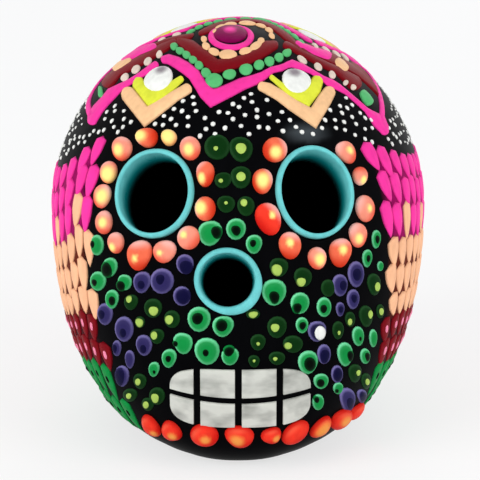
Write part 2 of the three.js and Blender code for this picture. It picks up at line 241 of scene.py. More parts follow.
class Head:
    """Gives places on the skin of the head, whose upright axis stands on the ear line."""

    def __init__(self, sizes):
        self.sizes = sizes
        self.side = (sizes.width / 2, sizes.base_width / 2)
        self.front = (sizes.face_depth, sizes.base_front)
        self.back = (sizes.cranium_depth, sizes.base_back)
        self.middle = Vector((0, SEAM_Y, WIDEST_HEIGHT))
        self.knob = Vector((0, -math.cos(CROWN_ELEVATION), math.sin(CROWN_ELEVATION)))
        self.brow = Vector((0, -math.sin(CROWN_ELEVATION), -math.cos(CROWN_ELEVATION)))

    def reach(self, profile, height, offset=0.0):
        """Distance from the axis to the skin on the side, the front or the back."""
        widest = profile[0] + offset
        above = height - WIDEST_HEIGHT
        if above >= 0:
            share = min(above / (self.sizes.crown_rise + offset), 1)
            return widest * (1 - share ** CROWN_POWER) ** (1 / CROWN_POWER)
        base = profile[1] + offset
        drop = WIDEST_HEIGHT / (1 - (base / widest) ** JAW_POWER) ** (1 / JAW_POWER)
        return widest * (1 - min(-above / drop, 1) ** JAW_POWER) ** (1 / JAW_POWER)

    def section(self, height, behind, offset=0.0, floor=0.0):
        """Half width, depth and roundness of the level section at a height."""
        edge = self.sizes.base_edge
        below = min(max(edge - (height - floor), 0), edge)
        inset = edge - math.sqrt(edge ** 2 - below ** 2)
        width = self.reach(self.side, height, offset) - inset
        depth = self.reach(self.back if behind else self.front, height, offset) - inset
        return width, depth, BACK_POWER if behind else FACE_POWER

    def at(self, turn, height, offset=0.0, floor=0.0):
        """The skin at a turn about the axis, in degrees from straight ahead to the right."""
        across = math.sin(math.radians(turn))
        ahead = math.cos(math.radians(turn))
        width, depth, power = self.section(height, ahead < 0, offset, floor)
        x = math.copysign(abs(across) ** (2 / power), across) * width
        y = math.copysign(abs(ahead) ** (2 / power), -ahead) * depth
        return Vector((x, SEAM_Y + y, height))

    def face(self, x, height):
        """The front of the skin at a sideways place and a height."""
        width, depth, power = self.section(height, False)
        return Vector((x, SEAM_Y - depth * (1 - (abs(x) / width) ** power) ** (1 / power), height))

    def turn(self, point):
        """The turn of a point of the skin, as at() takes it."""
        y = point.y - SEAM_Y
        width, depth, power = self.section(point.z, y > 0)
        across = (abs(point.x) / width) ** (power / 2)
        ahead = (abs(y) / depth) ** (power / 2)
        return math.degrees(math.atan2(math.copysign(across, point.x), math.copysign(ahead, -y)))

    def level(self, point):
        """Below 1 inside the clay's outline and above 1 outside it."""
        x = abs(point.x)
        y = point.y - SEAM_Y
        behind = y > 0
        up = (point.z - WIDEST_HEIGHT) / self.sizes.crown_rise
        if up < 0:
            width, depth, power = self.section(max(point.z, 0), behind)
            return ((x / width) ** power + (abs(y) / depth) ** power) ** (1 / power)
        power = BACK_POWER if behind else FACE_POWER
        depth = self.back[0] if behind else self.front[0]
        level = ((x / self.side[0]) ** power + (abs(y) / depth) ** power) ** (1 / power)
        return (level ** CROWN_POWER + up ** CROWN_POWER) ** (1 / CROWN_POWER)

    def settle(self, point):
        """The point brought onto the skin, from the head's middle or, lower down, from its axis."""
        scale = 1 / self.level(point)
        if point.z >= WIDEST_HEIGHT:
            return self.middle + (point - self.middle) * scale
        return Vector((point.x * scale, SEAM_Y + (point.y - SEAM_Y) * scale, max(point.z, 0)))

    def normal(self, point):
        """The direction straight out of the clay."""
        slope = []
        for axis in range(3):
            step = Vector((0, 0, 0))
            step[axis] = SLOPE_STEP
            slope.append(self.level(point + step) - self.level(point - step))
        return Vector(slope).normalized()

    def crown(self, bearing, tilt):
        """A place by its tilt from the knob and its bearing, from the face to the right, in degrees."""
        bearing = math.radians(bearing)
        tilt = math.radians(tilt)
        level = self.brow * math.cos(bearing) + Vector((1, 0, 0)) * math.sin(bearing)
        way = self.knob * math.cos(tilt) + level * math.sin(tilt)
        return self.settle(self.middle + way * self.sizes.wall)

    def bearing_and_tilt(self, point):
        """The inverse of crown()."""
        away = (point - self.middle).normalized()
        return math.degrees(math.atan2(away.x, away.dot(self.brow))), math.degrees(away.angle(self.knob))

    def behind(self, point):
        """The place half a turn round the crown's knob, further back for what lies far from it."""
        bearing, tilt = self.bearing_and_tilt(point)
        flare = BACK_FLARE * smooth_step(*FLARE_TILTS, tilt)
        return self.crown(bearing + HALF_TURN - flare * math.sin(math.radians(bearing)), tilt)

    def skin_axes(self, place):
        """The level and the rising direction along the skin, and the one straight out of it."""
        out = self.normal(place)
        right = Vector((0, 0, 1)).cross(out).normalized()
        return right, out.cross(right), out

    def seen(self, column, row):
        """The place that the photograph shows at a pixel, or the outline's nearest."""
        eye, right, up, ahead = camera_axes()
        pixels = CAMERA_LENS / CAMERA_SENSOR * PHOTO_SIZE
        half = PHOTO_SIZE / 2
        ray = (ahead + right * ((column - half) / pixels) + up * ((half - row) / pixels)).normalized()
        start = (self.middle - eye).dot(ray) - 2 * self.sizes.face_depth
        step = self.sizes.wall / 2
        places = [eye + ray * (start + step * i) for i in range(int(3 * self.sizes.face_depth / step))]
        inside = next((i for i, place in enumerate(places) if self.level(place) < 1), None)
        if inside is None:
            return self.settle(min(places, key=self.level))
        low = start + step * (inside - 1)
        high = start + step * inside
        while high - low > WELD:
            middle = (low + high) / 2
            if self.level(eye + ray * middle) < 1:
                high = middle
            else:
                low = middle
        return self.settle(eye + ray * high)


def camera_axes():
    """Where the camera stands, and its right, up and view directions."""
    right = Vector((1, 0, 0))
    ahead = Vector((0, math.cos(CAMERA_ELEVATION), -math.sin(CAMERA_ELEVATION)))
    return CAMERA_AIM - ahead * CAMERA_DISTANCE, right, right.cross(ahead), ahead


def pixel_of(point):
    """The pixel of the photograph that shows a point."""
    eye, right, up, ahead = camera_axes()
    away = point - eye
    pixels = CAMERA_LENS / CAMERA_SENSOR * PHOTO_SIZE / away.dot(ahead)
    return PHOTO_SIZE / 2 + away.dot(right) * pixels, PHOTO_SIZE / 2 - away.dot(up) * pixels


def current_head():
    return Head(bpy.context.scene.skull_sizes)


def smooth_step(low, high, value):
    share = min(max((value - low) / (high - low), 0), 1)
    return share * share * (3 - 2 * share)


# Materials

def palette(key):
    return getattr(bpy.context.scene.skull_colours, key)


def dimmed(bright, share):
    return [channel * share for channel in bright]


def node_adder(tree):
    """A function that adds a node with its values, and with numbers or other nodes' sockets on its inputs."""

    def add(kind, inputs=None, **values):
        node = tree.nodes.new(kind)
        for name, value in values.items():
            setattr(node, name, value)
        for socket, value in (inputs or {}).items():
            if isinstance(value, bpy.types.NodeSocket):
                tree.links.new(value, node.inputs[socket])
            else:
                node.inputs[socket].default_value = value
        return node

    return add


STREAK_DETAIL = 4.0
POOL_DETAIL = 2.0
MIDDLE_TONE = 0.7


def brushed_paint_group():
    """How a brush leaves paint: tone and polish from streaks and pooling, and a low relief."""
    name = "Brushed paint"
    if name in bpy.data.node_groups:
        return bpy.data.node_groups[name]
    group = bpy.data.node_groups.new(name, "ShaderNodeTree")
    for socket in ("Grain", "Pooling", "Contrast"):
        group.interface.new_socket(socket, in_out="INPUT", socket_type="NodeSocketFloat")
    group.interface.new_socket("Stretch", in_out="INPUT", socket_type="NodeSocketVector")
    for socket in ("Tone", "Polish", "Relief"):
        group.interface.new_socket(socket, in_out="OUTPUT", socket_type="NodeSocketFloat")
    add = node_adder(group)
    given = add("NodeGroupInput").outputs
    place = add("ShaderNodeTexCoord").outputs["Object"]
    stretched = add("ShaderNodeMapping", {"Vector": place, "Scale": given["Stretch"]}).outputs["Vector"]
    streaks = add(
        "ShaderNodeTexNoise", {"Vector": stretched, "Scale": given["Grain"], "Detail": STREAK_DETAIL},
    ).outputs["Fac"]
    pools = add(
        "ShaderNodeTexNoise", {"Vector": place, "Scale": given["Pooling"], "Detail": POOL_DETAIL},
    ).outputs["Fac"]
    both = add("ShaderNodeMath", {0: streaks, 1: pools}, operation="ADD").outputs["Value"]
    centred = add("ShaderNodeMath", {0: both, 1: 1.0}, operation="SUBTRACT").outputs["Value"]
    spread = add(
        "ShaderNodeMath", {0: centred, 1: given["Contrast"], 2: MIDDLE_TONE},
        operation="MULTIPLY_ADD", use_clamp=True,
    ).outputs["Value"]
    add("NodeGroupOutput", {"Tone": spread, "Polish": pools, "Relief": streaks})
    return group


class Brush(NamedTuple):
    """How a coat was laid on: contrast of its tone, roughness, relief, grain, pooling and stretch."""

    contrast: float
    rough: float
    relief: float
    grain: float = 900.0
    pooling: float = 220.0
    stretch: tuple = (1.0, 1.0, 0.3)


class Coat(NamedTuple):
    """A colour, its share where the coat is thin and where it is full, its gloss and its brush."""

    key: str
    thin: float
    full: float
    gloss: float
    brush: Brush


# The black coat inside the shell: painted shade of the hollow
HOLLOW_SHADE_COAT = Coat("black", 0.3, 1.0, 0.02, Brush(1.4, 0.8, 0.6, 300.0, 70.0))
# Bare clay of the coil, dimmed to a tenth to three tenths of its colour as painted shade of the hollow
SHADED_CLAY = Coat("clay", 0.1, 0.3, 0.5, Brush(1.6, 0.85, 0.8, 500.0, 140.0))
GLAZE = Coat("black", 0.4, 1.0, 0.015, Brush(1.0, 0.42, 0.25, 420.0, 90.0))
TURQUOISE = Coat("turquoise", 0.7, 1.0, 0.12, Brush(1.2, 0.3, 0.35))
SILVER = Coat("silver", 0.5, 1.0, 0.15, Brush(2.2, 0.42, 0.5, 380.0, 170.0, (0.35, 1.0, 1.0)))
STUDIO_FLOOR = Coat("floor", 0.98, 1.0, 0.1, Brush(0.5, 0.7, 0.0, 30.0, 8.0))
PAINT_THIN = 0.78
PAINT_GLOSS = 0.035
PAINT_BRUSH = Brush(1.2, 0.45, 0.35)
POLISH_SPREAD = 0.08
RELIEF_DEPTH = 0.15 * MM

# Wear round the foot: how ragged its edge is, and the heights between which the glaze gives way
WEAR_RAGGED = 1.6 * MM
WEAR_RANGE = (-0.5 * MM, -1.0 * MM)


def brushed(material, shader, brush):
    """Puts the brush's polish and relief on a material, and gives back its tone."""
    add = node_adder(material.node_tree)
    sockets = ("Grain", "Pooling", "Contrast", "Stretch")
    settings = {socket: getattr(brush, socket.lower()) for socket in sockets}
    marks = add("ShaderNodeGroup", settings, node_tree=brushed_paint_group()).outputs
    smooth = brush.rough - POLISH_SPREAD
    dull = brush.rough + POLISH_SPREAD
    polish = add("ShaderNodeMapRange", {"Value": marks["Polish"], "To Min": smooth, "To Max": dull})
    relief = {"Height": marks["Relief"], "Strength": brush.relief, "Distance": RELIEF_DEPTH}
    bump = add("ShaderNodeBump", relief)
    material.node_tree.links.new(polish.outputs["Result"], shader.inputs["Roughness"])
    material.node_tree.links.new(bump.outputs["Normal"], shader.inputs["Normal"])
    return marks["Tone"]


def mixed(material, factor, *colours):
    """A colour between two, each a socket or three numbers."""
    first, second = (
        value if isinstance(value, bpy.types.NodeSocket) else (*value, 1.0) for value in colours
    )
    add = node_adder(material.node_tree)
    return add("ShaderNodeMix", {"Factor": factor, 6: first, 7: second}, data_type="RGBA").outputs[2]


def masked(material, attribute, base, other):
    """A base colour that gives way to another where a mesh's attribute says so."""
    mask = node_adder(material.node_tree)("ShaderNodeAttribute", attribute_name=attribute)
    return mixed(material, mask.outputs["Fac"], base, other)


def laid_coat(name, coat):
    """A new material with a coat's gloss, polish and relief, its shader, and the coat's tone and colour."""
    material = bpy.data.materials.new(name)
    material.use_nodes = True
    shader = material.node_tree.nodes["Principled BSDF"]
    shader.inputs["Specular IOR Level"].default_value = coat.gloss
    tone = brushed(material, shader, coat.brush)
    bright = palette(coat.key)
    base = mixed(material, tone, dimmed(bright, coat.thin), dimmed(bright, coat.full))
    return material, shader, tone, base


def coat_material(name, coat, **masks):
    """A coat with other paints over its masks."""
    if name in bpy.data.materials:
        return bpy.data.materials[name]
    material, shader, _, base = laid_coat(name, coat)
    for attribute, other in masks.items():
        base = masked(material, attribute, base, palette(other))
    material.node_tree.links.new(base, shader.inputs["Base Color"])
    return material


def paint_material(key, **masks):
    """Thick craft paint, a little deeper where the brush left it thin, with other paints over its masks."""
    name = " ".join((key, *masks.values(), "paint"))
    return coat_material(name, Coat(key, PAINT_THIN, 1.0, PAINT_GLOSS, PAINT_BRUSH), **masks)


def glaze_material():
    """The black ground: dark washes under the side panels, a painted reflection of a lamp over the right eye,
    and clay showing where the foot is worn.
    """
    material, shader, tone, ground = laid_coat("black glaze", GLAZE)
    add = node_adder(material.node_tree)
    wash = add("ShaderNodeAttribute", attribute_name="wash").outputs
    washed_and_sheened = mixed(material, wash["Alpha"], ground, wash["Color"])
    place = add("ShaderNodeTexCoord").outputs["Object"]
    height = add("ShaderNodeSeparateXYZ", {"Vector": place}).outputs["Z"]
    ragged = add("ShaderNodeMath", {0: tone, 1: -WEAR_RAGGED, 2: height}, operation="MULTIPLY_ADD")
    start, end = WEAR_RANGE
    wear = {"Value": ragged.outputs["Value"], "From Min": start, "From Max": end}
    worn = add("ShaderNodeMapRange", wear).outputs["Result"]
    base = mixed(material, worn, washed_and_sheened, palette("clay"))
    material.node_tree.links.new(base, shader.inputs["Base Color"])
    return material


# Meshes

def plain_object(name, bm):
    """Makes an object of a finished mesh."""
    mesh = bpy.data.meshes.new(name)
    bm.to_mesh(mesh)
    bm.free()
    plain = bpy.data.objects.new(name, mesh)
    bpy.context.collection.objects.link(plain)
    return plain


def add_piece(name, bm, materials, slot, *nodes):
    """Makes a piece of a finished mesh and says what it rides on, stands for and is painted with."""
    piece = plain_object(name, bm)
    for material in materials:
        piece.data.materials.append(material)
    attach(piece, BODY)
    if nodes:
        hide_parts(*nodes)
    return piece


def grid_mesh(columns, rows):
    """A grid to be shaped, and each of its vertices with its shares across and up."""
    bm = bmesh.new()
    bmesh.ops.create_grid(bm, x_segments=columns, y_segments=rows, size=0.5)
    low = min(vert.co.x for vert in bm.verts)
    shares = [(vert, (vert.co.x - low) / (-2 * low), (vert.co.y - low) / (-2 * low)) for vert in bm.verts]
    return bm, shares


def close_up(bm):
    """Closes the seam and the poles of a mesh, turns its faces outwards and smooths them."""
    bmesh.ops.remove_doubles(bm, verts=bm.verts, dist=WELD)
    bmesh.ops.recalc_face_normals(bm, faces=bm.faces)
    for face in bm.faces:
        face.smooth = True


class PaintLayer:
    """Gathers drops and strokes of paint into one piece."""

    def __init__(self):
        self.bm = bmesh.new()
        self.carrier = bpy.data.meshes.new("carrier")

    def take(self, patch, material=0):
        """Closes a patch and lays it on."""
        close_up(patch)
        for face in patch.faces:
            face.material_index = material
        patch.to_mesh(self.carrier)
        patch.free()
        self.bm.from_mesh(self.carrier)

    def take_twice(self, head, patch, material=0):
        """Lays a patch on the front of the crown and its like on the back."""
        twin = patch.copy()
        for vert in twin.verts:
            foot = head.settle(vert.co)
            height = (vert.co - foot).dot(head.normal(foot))
            place = head.behind(foot)
            vert.co = place + head.normal(place) * height
        self.take(patch, material)
        self.take(twin, material)

    def finish(self, name, materials, slot, *nodes):
        bpy.data.meshes.remove(self.carrier)
        return add_piece(name, self.bm, materials, slot, *nodes)


# A drop's masks, by shares of its half width, and its form, with painted highlight and shade on its sides
LIT_TURN = 140.0
RIM_EDGES = (0.66, 0.93)
RIM_SHARE = 0.65
RIM_LIGHT = 0.35
HIGHLIGHT_EDGES = (0.3, 1.1)
SHADE_EDGES = (0.0, 0.85)
HEART_EDGES = (0.35, 1.25)
LARGEST_SWELL = 0.06
DOME_POWER = 0.8
UNDERSIDE = 0.5


def drop_patch(
    head, centre, across, up, height, wobble, heart=None, lit=LIT_TURN, steps=DOT_STEPS, rings=DOT_RINGS,
):
    """A drop of thick paint: a flattened ball on the skin, with masks for its rim, its heart, and painted
    highlight and shade on its sides.
    """
    patch = bmesh.new()
    bmesh.ops.create_uvsphere(patch, u_segments=steps, v_segments=rings, radius=1.0)
    rim, pale, deep, core = (patch.verts.layers.float.new(name) for name in ("rim", "pale", "deep", "heart"))
    out = head.normal(centre)
    swell = wobble.uniform(0.0, LARGEST_SWELL)
    phase = wobble.uniform(0.0, math.tau)
    for vert in patch.verts:
        x, y, z = vert.co
        facing = x * math.cos(math.radians(lit)) + y * math.sin(math.radians(lit))
        # The rim: a band round the edge, heavier on the lit side; on the dots it is a painted highlight, on
        # the chin beads painted shade, and round a heart its dot's paint
        vert[rim] = smooth_step(*RIM_EDGES, math.hypot(x, y)) * (RIM_SHARE + RIM_LIGHT * facing)
        # Painted highlight on the side towards the light, painted shade on the side away from it
        vert[pale] = smooth_step(*HIGHLIGHT_EDGES, facing)
        vert[deep] = smooth_step(*SHADE_EDGES, -facing)
        if heart and z >= 0:
            right, rise, size = heart
            vert[core] = 1 - smooth_step(*HEART_EDGES, math.hypot(x - right, y - rise) / size)
        angle = math.atan2(y, x)
        uneven = 1 + swell * (math.sin(2 * angle + phase) + math.sin(3 * angle))
        foot = head.settle(centre + (across * x + up * y) * uneven)
        vert.co = foot + out * (height * (z ** DOME_POWER if z > 0 else UNDERSIDE * z))
    return patch


def pixel_spans(head, column, row, half_width, half_height, tilt=0.0):
    """The skin's centre and half axes under an ellipse of the photograph, tilted in degrees."""
    cosine = math.cos(math.radians(tilt))
    sine = math.sin(math.radians(tilt))
    spans = []
    ways = ((cosine * half_width, -sine * half_width), (-sine * half_height, -cosine * half_height))
    for right, down in ways:
        ends = [head.seen(column + sign * right, row + sign * down) for sign in (1, -1)]
        spans.append((ends[0] - ends[1]) / 2)
    return head.seen(column, row), *spans


# How far a dot may stretch near the outline, and how its heart spreads and rises
LONGEST = 1.8
HEART_SPREAD = 1.25
HEART_RISE = 1.3


def add_dot(layer, head, dot, height, wobble):
    """A dot of paint with a smaller dot set into it: its heart."""
    column, row, half_width, half_height, *heart = dot
    centre, across, up = pixel_spans(head, column, row, half_width, half_height)
    across *= min(1, LONGEST * up.length / across.length)
    up *= min(1, LONGEST * across.length / up.length)
    layer.take(drop_patch(head, centre, across, up, height, wobble))
    if heart:
        right, down, size = heart
        share = HEART_SPREAD * size / half_width
        place = head.seen(column + right, row + down)
        layer.take(drop_patch(head, place, across * share, up * share, height * HEART_RISE, wobble), 1)


def stroke_patch(head, stations, height):
    """A rounded stroke over stations of the skin: two edges, a middle and the share of its full height."""
    steps = len(stations) - 1
    patch, shares = grid_mesh(steps, STROKE_SECTION)
    for vert, along, around in shares:
        first, centre, second, share = stations[round(along * steps)]
        angle = math.tau * around
        aside = math.cos(angle)
        foot = head.settle(centre.lerp(first if aside > 0 else second, abs(aside)))
        rise = math.sin(angle) if angle < math.pi else UNDERSIDE * math.sin(angle)
        vert.co = foot + head.normal(centre) * (height * share * rise)
    return patch


def path_stations(head, path, half_width, shape, steps):
    """Stations along a path of the skin, given from 0 to 1, with a shape from 0 to 1 for its width."""
    stations = []
    for i in range(steps + 1):
        share = i / steps
        centre = path(share)
        ahead = path(min(share + 0.5 / steps, 1)) - path(max(share - 0.5 / steps, 0))
        side = ahead.cross(head.normal(centre)).normalized() * (half_width * shape(share))
        stations.append((centre + side, centre, centre - side, math.sqrt(shape(share))))
    return stations


# Strokes of the photograph, in pixels, shares of a half width, and shares of a blunt end
BRUSH_STEP = 3.0
BLUNT_END = 0.7
GRAZING = 1.6
ROUND_END = (0.03, 0.13, 0.3, 0.55)


def brush_edges(points):
    """Each point of a stroke with the way to its edge: across the stroke, and along the mitre at a corner."""
    across = []
    for (x, y, _), (next_x, next_y, _) in zip(points, points[1:]):
        run = math.hypot(next_x - x, next_y - y)
        across.append(Vector(((y - next_y) / run, (next_x - x) / run)))
    edged = []
    for i, (x, y, half_width) in enumerate(points):
        before = across[max(i - 1, 0)]
        after = across[min(i, len(across) - 1)]
        mitre = (before + after).normalized()
        edged.append((x, y, *(mitre * (half_width / mitre.dot(after)))))
    return edged


def brush_stations(head, points):
    """Stations along a stroke of the photograph: column, row and half width in pixels, with blunt ends."""
    edged = brush_edges(points)
    lengths = [0.0]
    for (x, y, _), (next_x, next_y, _) in zip(points, points[1:]):
        lengths.append(lengths[-1] + math.hypot(next_x - x, next_y - y))
    total = lengths[-1]
    first = BLUNT_END * points[0][2]
    last = BLUNT_END * points[-1][2]
    distances = [0.0, total]
    for start, end in zip(lengths, lengths[1:]):
        parts = math.ceil((end - start) / BRUSH_STEP)
        distances.extend(start + (end - start) * i / parts for i in range(1, parts + 1))
    for share in ROUND_END:
        distances.extend((share * first, total - share * last))
    stations = []
    for distance in sorted(min(distance, total) for distance in set(distances)):
        leg = next(i for i in range(1, len(points)) if lengths[i] >= distance)
        part = (distance - lengths[leg - 1]) / (lengths[leg] - lengths[leg - 1])
        column, row, right, down = (a + (b - a) * part for a, b in zip(edged[leg - 1], edged[leg]))
        end = min(distance / first, (total - distance) / last, 1)
        full = math.sqrt(1 - (1 - end) ** 2)
        centre = head.seen(column, row)
        edges = [(column + sign * right * full, row + sign * down * full) for sign in (1, -1)]
        spans = [head.seen(*edge) - centre for edge in edges]
        longest = GRAZING * min(span.length for span in spans)
        first_edge, second_edge = (
            centre + span * min(1, longest / max(span.length, WELD)) for span in spans
        )
        stations.append((first_edge, centre, second_edge, math.sqrt(full)))
    return stations


# Shell

def skin_mesh(head, offset, floor):
    """The closed head, grown or shrunk by an offset and standing on its own floor."""
    rows = sum(SHELL_ROWS.values())
    bm, shares = grid_mesh(SHELL_COLUMNS, rows)
    edge = head.sizes.base_edge
    top = WIDEST_HEIGHT + head.sizes.crown_rise + offset
    for vert, around, up in shares:
        row = round(up * rows)
        inward = 1.0
        if row < SHELL_ROWS["foot"]:
            height = floor
            inward = row / SHELL_ROWS["foot"]
        elif (row := row - SHELL_ROWS["foot"]) < SHELL_ROWS["edge"]:
            height = floor + edge * (1 - math.cos(row / SHELL_ROWS["edge"] * math.pi / 2))
        elif (row := row - SHELL_ROWS["edge"]) < SHELL_ROWS["jaw"]:
            height = floor + edge + (WIDEST_HEIGHT - floor - edge) * row / SHELL_ROWS["jaw"]
        else:
            rise = (row - SHELL_ROWS["jaw"]) / SHELL_ROWS["crown"] * math.pi / 2
            height = WIDEST_HEIGHT + (top - WIDEST_HEIGHT) * math.sin(rise)
        place = head.at(FULL_TURN * around, height, offset, floor)
        vert.co = (place.x * inward, SEAM_Y + (place.y - SEAM_Y) * inward, height)
    close_up(bm)
    return bm


# How far each hole leans on its way in, to the right and down, as shares of its depth
HOLE_LEANS = {"left_eye": (0.09, 0.26), "right_eye": (-0.09, 0.3), "nose": (0.0, 0.48)}
HOLE_SIZES = ("x", "height", "width", "tall")


def holes_of(head):
    """Name, place, half width and half height of each hole of the face, with its right, up and axis."""
    holes = []
    for name, (aside, down) in HOLE_LEANS.items():
        x, height, width, tall = (getattr(head.sizes, f"{name}_{size}") for size in HOLE_SIZES)
        place = head.face(x, height)
        right, up, out = head.skin_axes(place)
        axis = out - right * aside + up * down
        holes.append((f"{name}_collar", place, width / 2, tall / 2, right, up, axis))
    return holes


def hollow_shell(head):
    """The whole shell with its cavity and its three holes cut."""
    sizes = head.sizes
    shell = plain_object("shell", skin_mesh(head, 0.0, 0.0))
    cutters = [plain_object("cavity", skin_mesh(head, -sizes.wall, sizes.floor))]
    inset = sizes.lip_width - sizes.sleeve
    for name, place, half_width, half_height, right, up, axis in holes_of(head):
        bar = bmesh.new()
        bmesh.ops.create_cone(
            bar, cap_ends=True, segments=LIP_STEPS, radius1=1.0, radius2=1.0, depth=sizes.face_depth,
        )
        for vert in bar.verts:
            x, y, z = vert.co
            rim = right * (x * (half_width - inset)) + up * (y * (half_height - inset))
            vert.co = place + rim + axis * z
        cutters.append(plain_object(f"{name} bar", bar))
    for cutter in cutters:
        cut = shell.modifiers.new(cutter.name, "BOOLEAN")
        cut.operation = "DIFFERENCE"
        cut.solver = "EXACT"
        cut.object = cutter
    whole = bmesh.new()
    bpy.context.view_layer.update()
    whole.from_object(shell, bpy.context.evaluated_depsgraph_get())
    for plain in (shell, *cutters):
        bpy.data.meshes.remove(plain.data)
    return whole


def half_shell(whole, towards):
    """The part of the shell in front of (-1) or behind (1) the ear line, closed along the cut."""
    half = whole.copy()
    cut = bmesh.ops.bisect_plane(
        half, geom=[*half.verts, *half.edges, *half.faces], dist=WELD,
        plane_co=(0, SEAM_Y, 0), plane_no=(0, -towards, 0), clear_outer=True,
    )
    rim = [item for item in cut["geom_cut"] if isinstance(item, bmesh.types.BMEdge)]
    bmesh.ops.bridge_loops(half, edges=rim)
    return half


# Dark washes under the panels, how far inside their edges they start and fade, and the painted reflection of
# a lamp
# on the glaze over the right eye: its pixel, half width and half height, its strength and the share of it
# that is even
WASHES = {"pink": (0.27, 0.002, 0.09), "peach": (0.12, 0.016, 0.006), "maroon": (0.05, 0.002, 0.005)}
WASH_INSET = 2.5
WASH_FADE = 3.0
SHEEN_PATCH = (306, 133, 30, 13)
SHEEN_STRENGTH = 0.8
SHEEN_CORE = 0.1
UNWASHED = (0, 0, 0, 0)
SKIN_LEVEL = 0.975
SHELL_CREASE = math.radians(35)


def wash_and_sheen_colour(head, point):
    """The dark wash under the side panels, or the painted reflection of a lamp on the glaze over the right
    eye, with its strength.
    """
    column, row = pixel_of(point)
    away = math.hypot((column - SHEEN_PATCH[0]) / SHEEN_PATCH[2], (row - SHEEN_PATCH[1]) / SHEEN_PATCH[3])
    # Over the right eye the glaze takes a grey painted reflection of a lamp, strongest in its middle
    if away < 1 and head.normal(point).y < 0:
        return *palette("painted_sheen"), SHEEN_STRENGTH * (1 - smooth_step(SHEEN_CORE, 1, away))
    if not 0 < point.z < WASH_TOP:
        return UNWASHED
    turn = head.turn(point)
    height = height_before(turn, point.z / MM) * MM
    row = next((row for row in PANEL_ROWS if min(row[1] * MM, WASH_TOP) >= height > row[2] * MM), None)
    if row is None or row[0] not in WASHES:
        return UNWASHED
    inside = abs(turn) - (row[4] if turn > 0 else row[3]) - WASH_INSET
    return *WASHES[row[0]], min(max(inside / WASH_FADE, 0), 1)


def build_shell():
    head = current_head()
    whole = hollow_shell(head)
    materials = [glaze_material(), coat_material("dark slip", HOLLOW_SHADE_COAT)]
    for name, node, towards in (("face_shell", "face_half", -1), ("cranium_shell", "cranium_half", 1)):
        half = half_shell(whole, towards)
        # Each vertex carries the dark wash of the panels or the painted reflection over the right eye
        wash = half.verts.layers.float_color.new("wash")
        for vert in half.verts:
            vert[wash] = wash_and_sheen_colour(head, vert.co)
        # Faces inside the hollow take the black coat of painted shade; those of the skin take the glaze
        for face in half.faces:
            middle = face.calc_center_median()
            on_skin = head.level(middle) > SKIN_LEVEL or middle.z < WELD
            face.material_index = 0 if on_skin else 1
            face.smooth = True
        piece = add_piece(name, half, materials, "black_glaze", node)
        piece.data.set_sharp_from_angle(angle=SHELL_CREASE)
    whole.free()


COIL_STEPS = 48
COIL_SECTION = 12
COIL_DENT = 0.12
COIL_BEATS = (1.7, 0.6)
COIL_CLEAR = 0.3 * MM


def build_seam_coil():
    """The coil that is pressed over the seam from inside, with the dents of the potter's thumb, its clay
    dimmed as painted shade.
    """
    head = current_head()
    sizes = head.sizes
    low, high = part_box("seam_coil")
    half_width = (high.y - low.y) / 2
    inset = sizes.coil / 2 + COIL_CLEAR
    floor = sizes.floor + inset
    top = WIDEST_HEIGHT + sizes.crown_rise - sizes.wall - inset
    rising = []
    for i in range(COIL_STEPS + 1):
        height = floor + (top - floor) * (1 - math.cos(math.pi * i / COIL_STEPS)) / 2
        rising.append((head.section(height, False, -sizes.wall - inset, floor)[0], height))
    outline = [(0, floor), *rising, *((-x, height) for x, height in reversed(rising[:-1]))]
    steps = len(outline)
    bm, shares = grid_mesh(steps, COIL_SECTION)
    for vert, along, around in shares:
        station = round(along * steps) % steps
        angle = math.tau * around
        x, z = outline[station]
        before, after = outline[station - 1], outline[(station + 1) % steps]
        run = Vector((after[0] - before[0], 0, after[1] - before[1])).normalized()
        inward = Vector((-run.z, 0, run.x))
        dent = 1 + COIL_DENT * math.prod(math.sin(beat * station) for beat in COIL_BEATS)
        aside = Vector((0, half_width * dent * math.cos(angle), 0))
        vert.co = Vector((x, SEAM_Y, z)) + inward * (sizes.coil / 2 * dent * math.sin(angle)) + aside
    close_up(bm)
    add_piece("seam_coil_clay", bm, [coat_material("bare clay", SHADED_CLAY)], "bare_clay", "seam_coil")


# Collars

# Form of the lip, how far it wanders and swells, and the sleeve's rings and end, and where painted shade
# fades in down the sleeve: to teal, then on to near black
LIP_ROUNDING = 8
LIP_SHOULDER = 0.4
LIP_PHASES = 3
LIP_WANDER = 0.012
LIP_SWELL = 0.07
COLLAR_FOOT = -0.4 * MM
SLEEVE_PAST = 0.3 * MM
SLEEVE_RINGS = (0.05, 0.15, 0.3, 0.5, 0.75, 1.0)
SLEEVE_FADE = 2.6 * MM
SLEEVE_SHADE = 1.8 * MM
SLEEVE_DEPTH = 4.8 * MM

# The nose's sleeve narrows inwards, and paint is smeared out from its lip at the lower right
NARROWING = {"nose_collar": 0.12}
SMEAR_WIDTH = {"nose_collar": 0.9 * MM}
SMEAR_TURN = math.radians(-52)


def lip_profile(sizes):
    """Inset and height of a collar's section, from its outer foot over the lip and down the sleeve."""
    half = sizes.lip_width / 2
    depth = sizes.wall + SLEEVE_PAST
    points = [(0.0, COLLAR_FOOT)]
    for i in range(LIP_ROUNDING + 1):
        angle = math.pi * i / LIP_ROUNDING
        rise = LIP_SHOULDER + (1 - LIP_SHOULDER) * math.sin(angle)
        points.append((half - half * math.cos(angle), sizes.lip_proud * rise))
    points.extend((sizes.lip_width, -depth * share) for share in SLEEVE_RINGS)
    points.extend((sizes.lip_width - sizes.sleeve, height) for height in (-depth, COLLAR_FOOT))
    return points


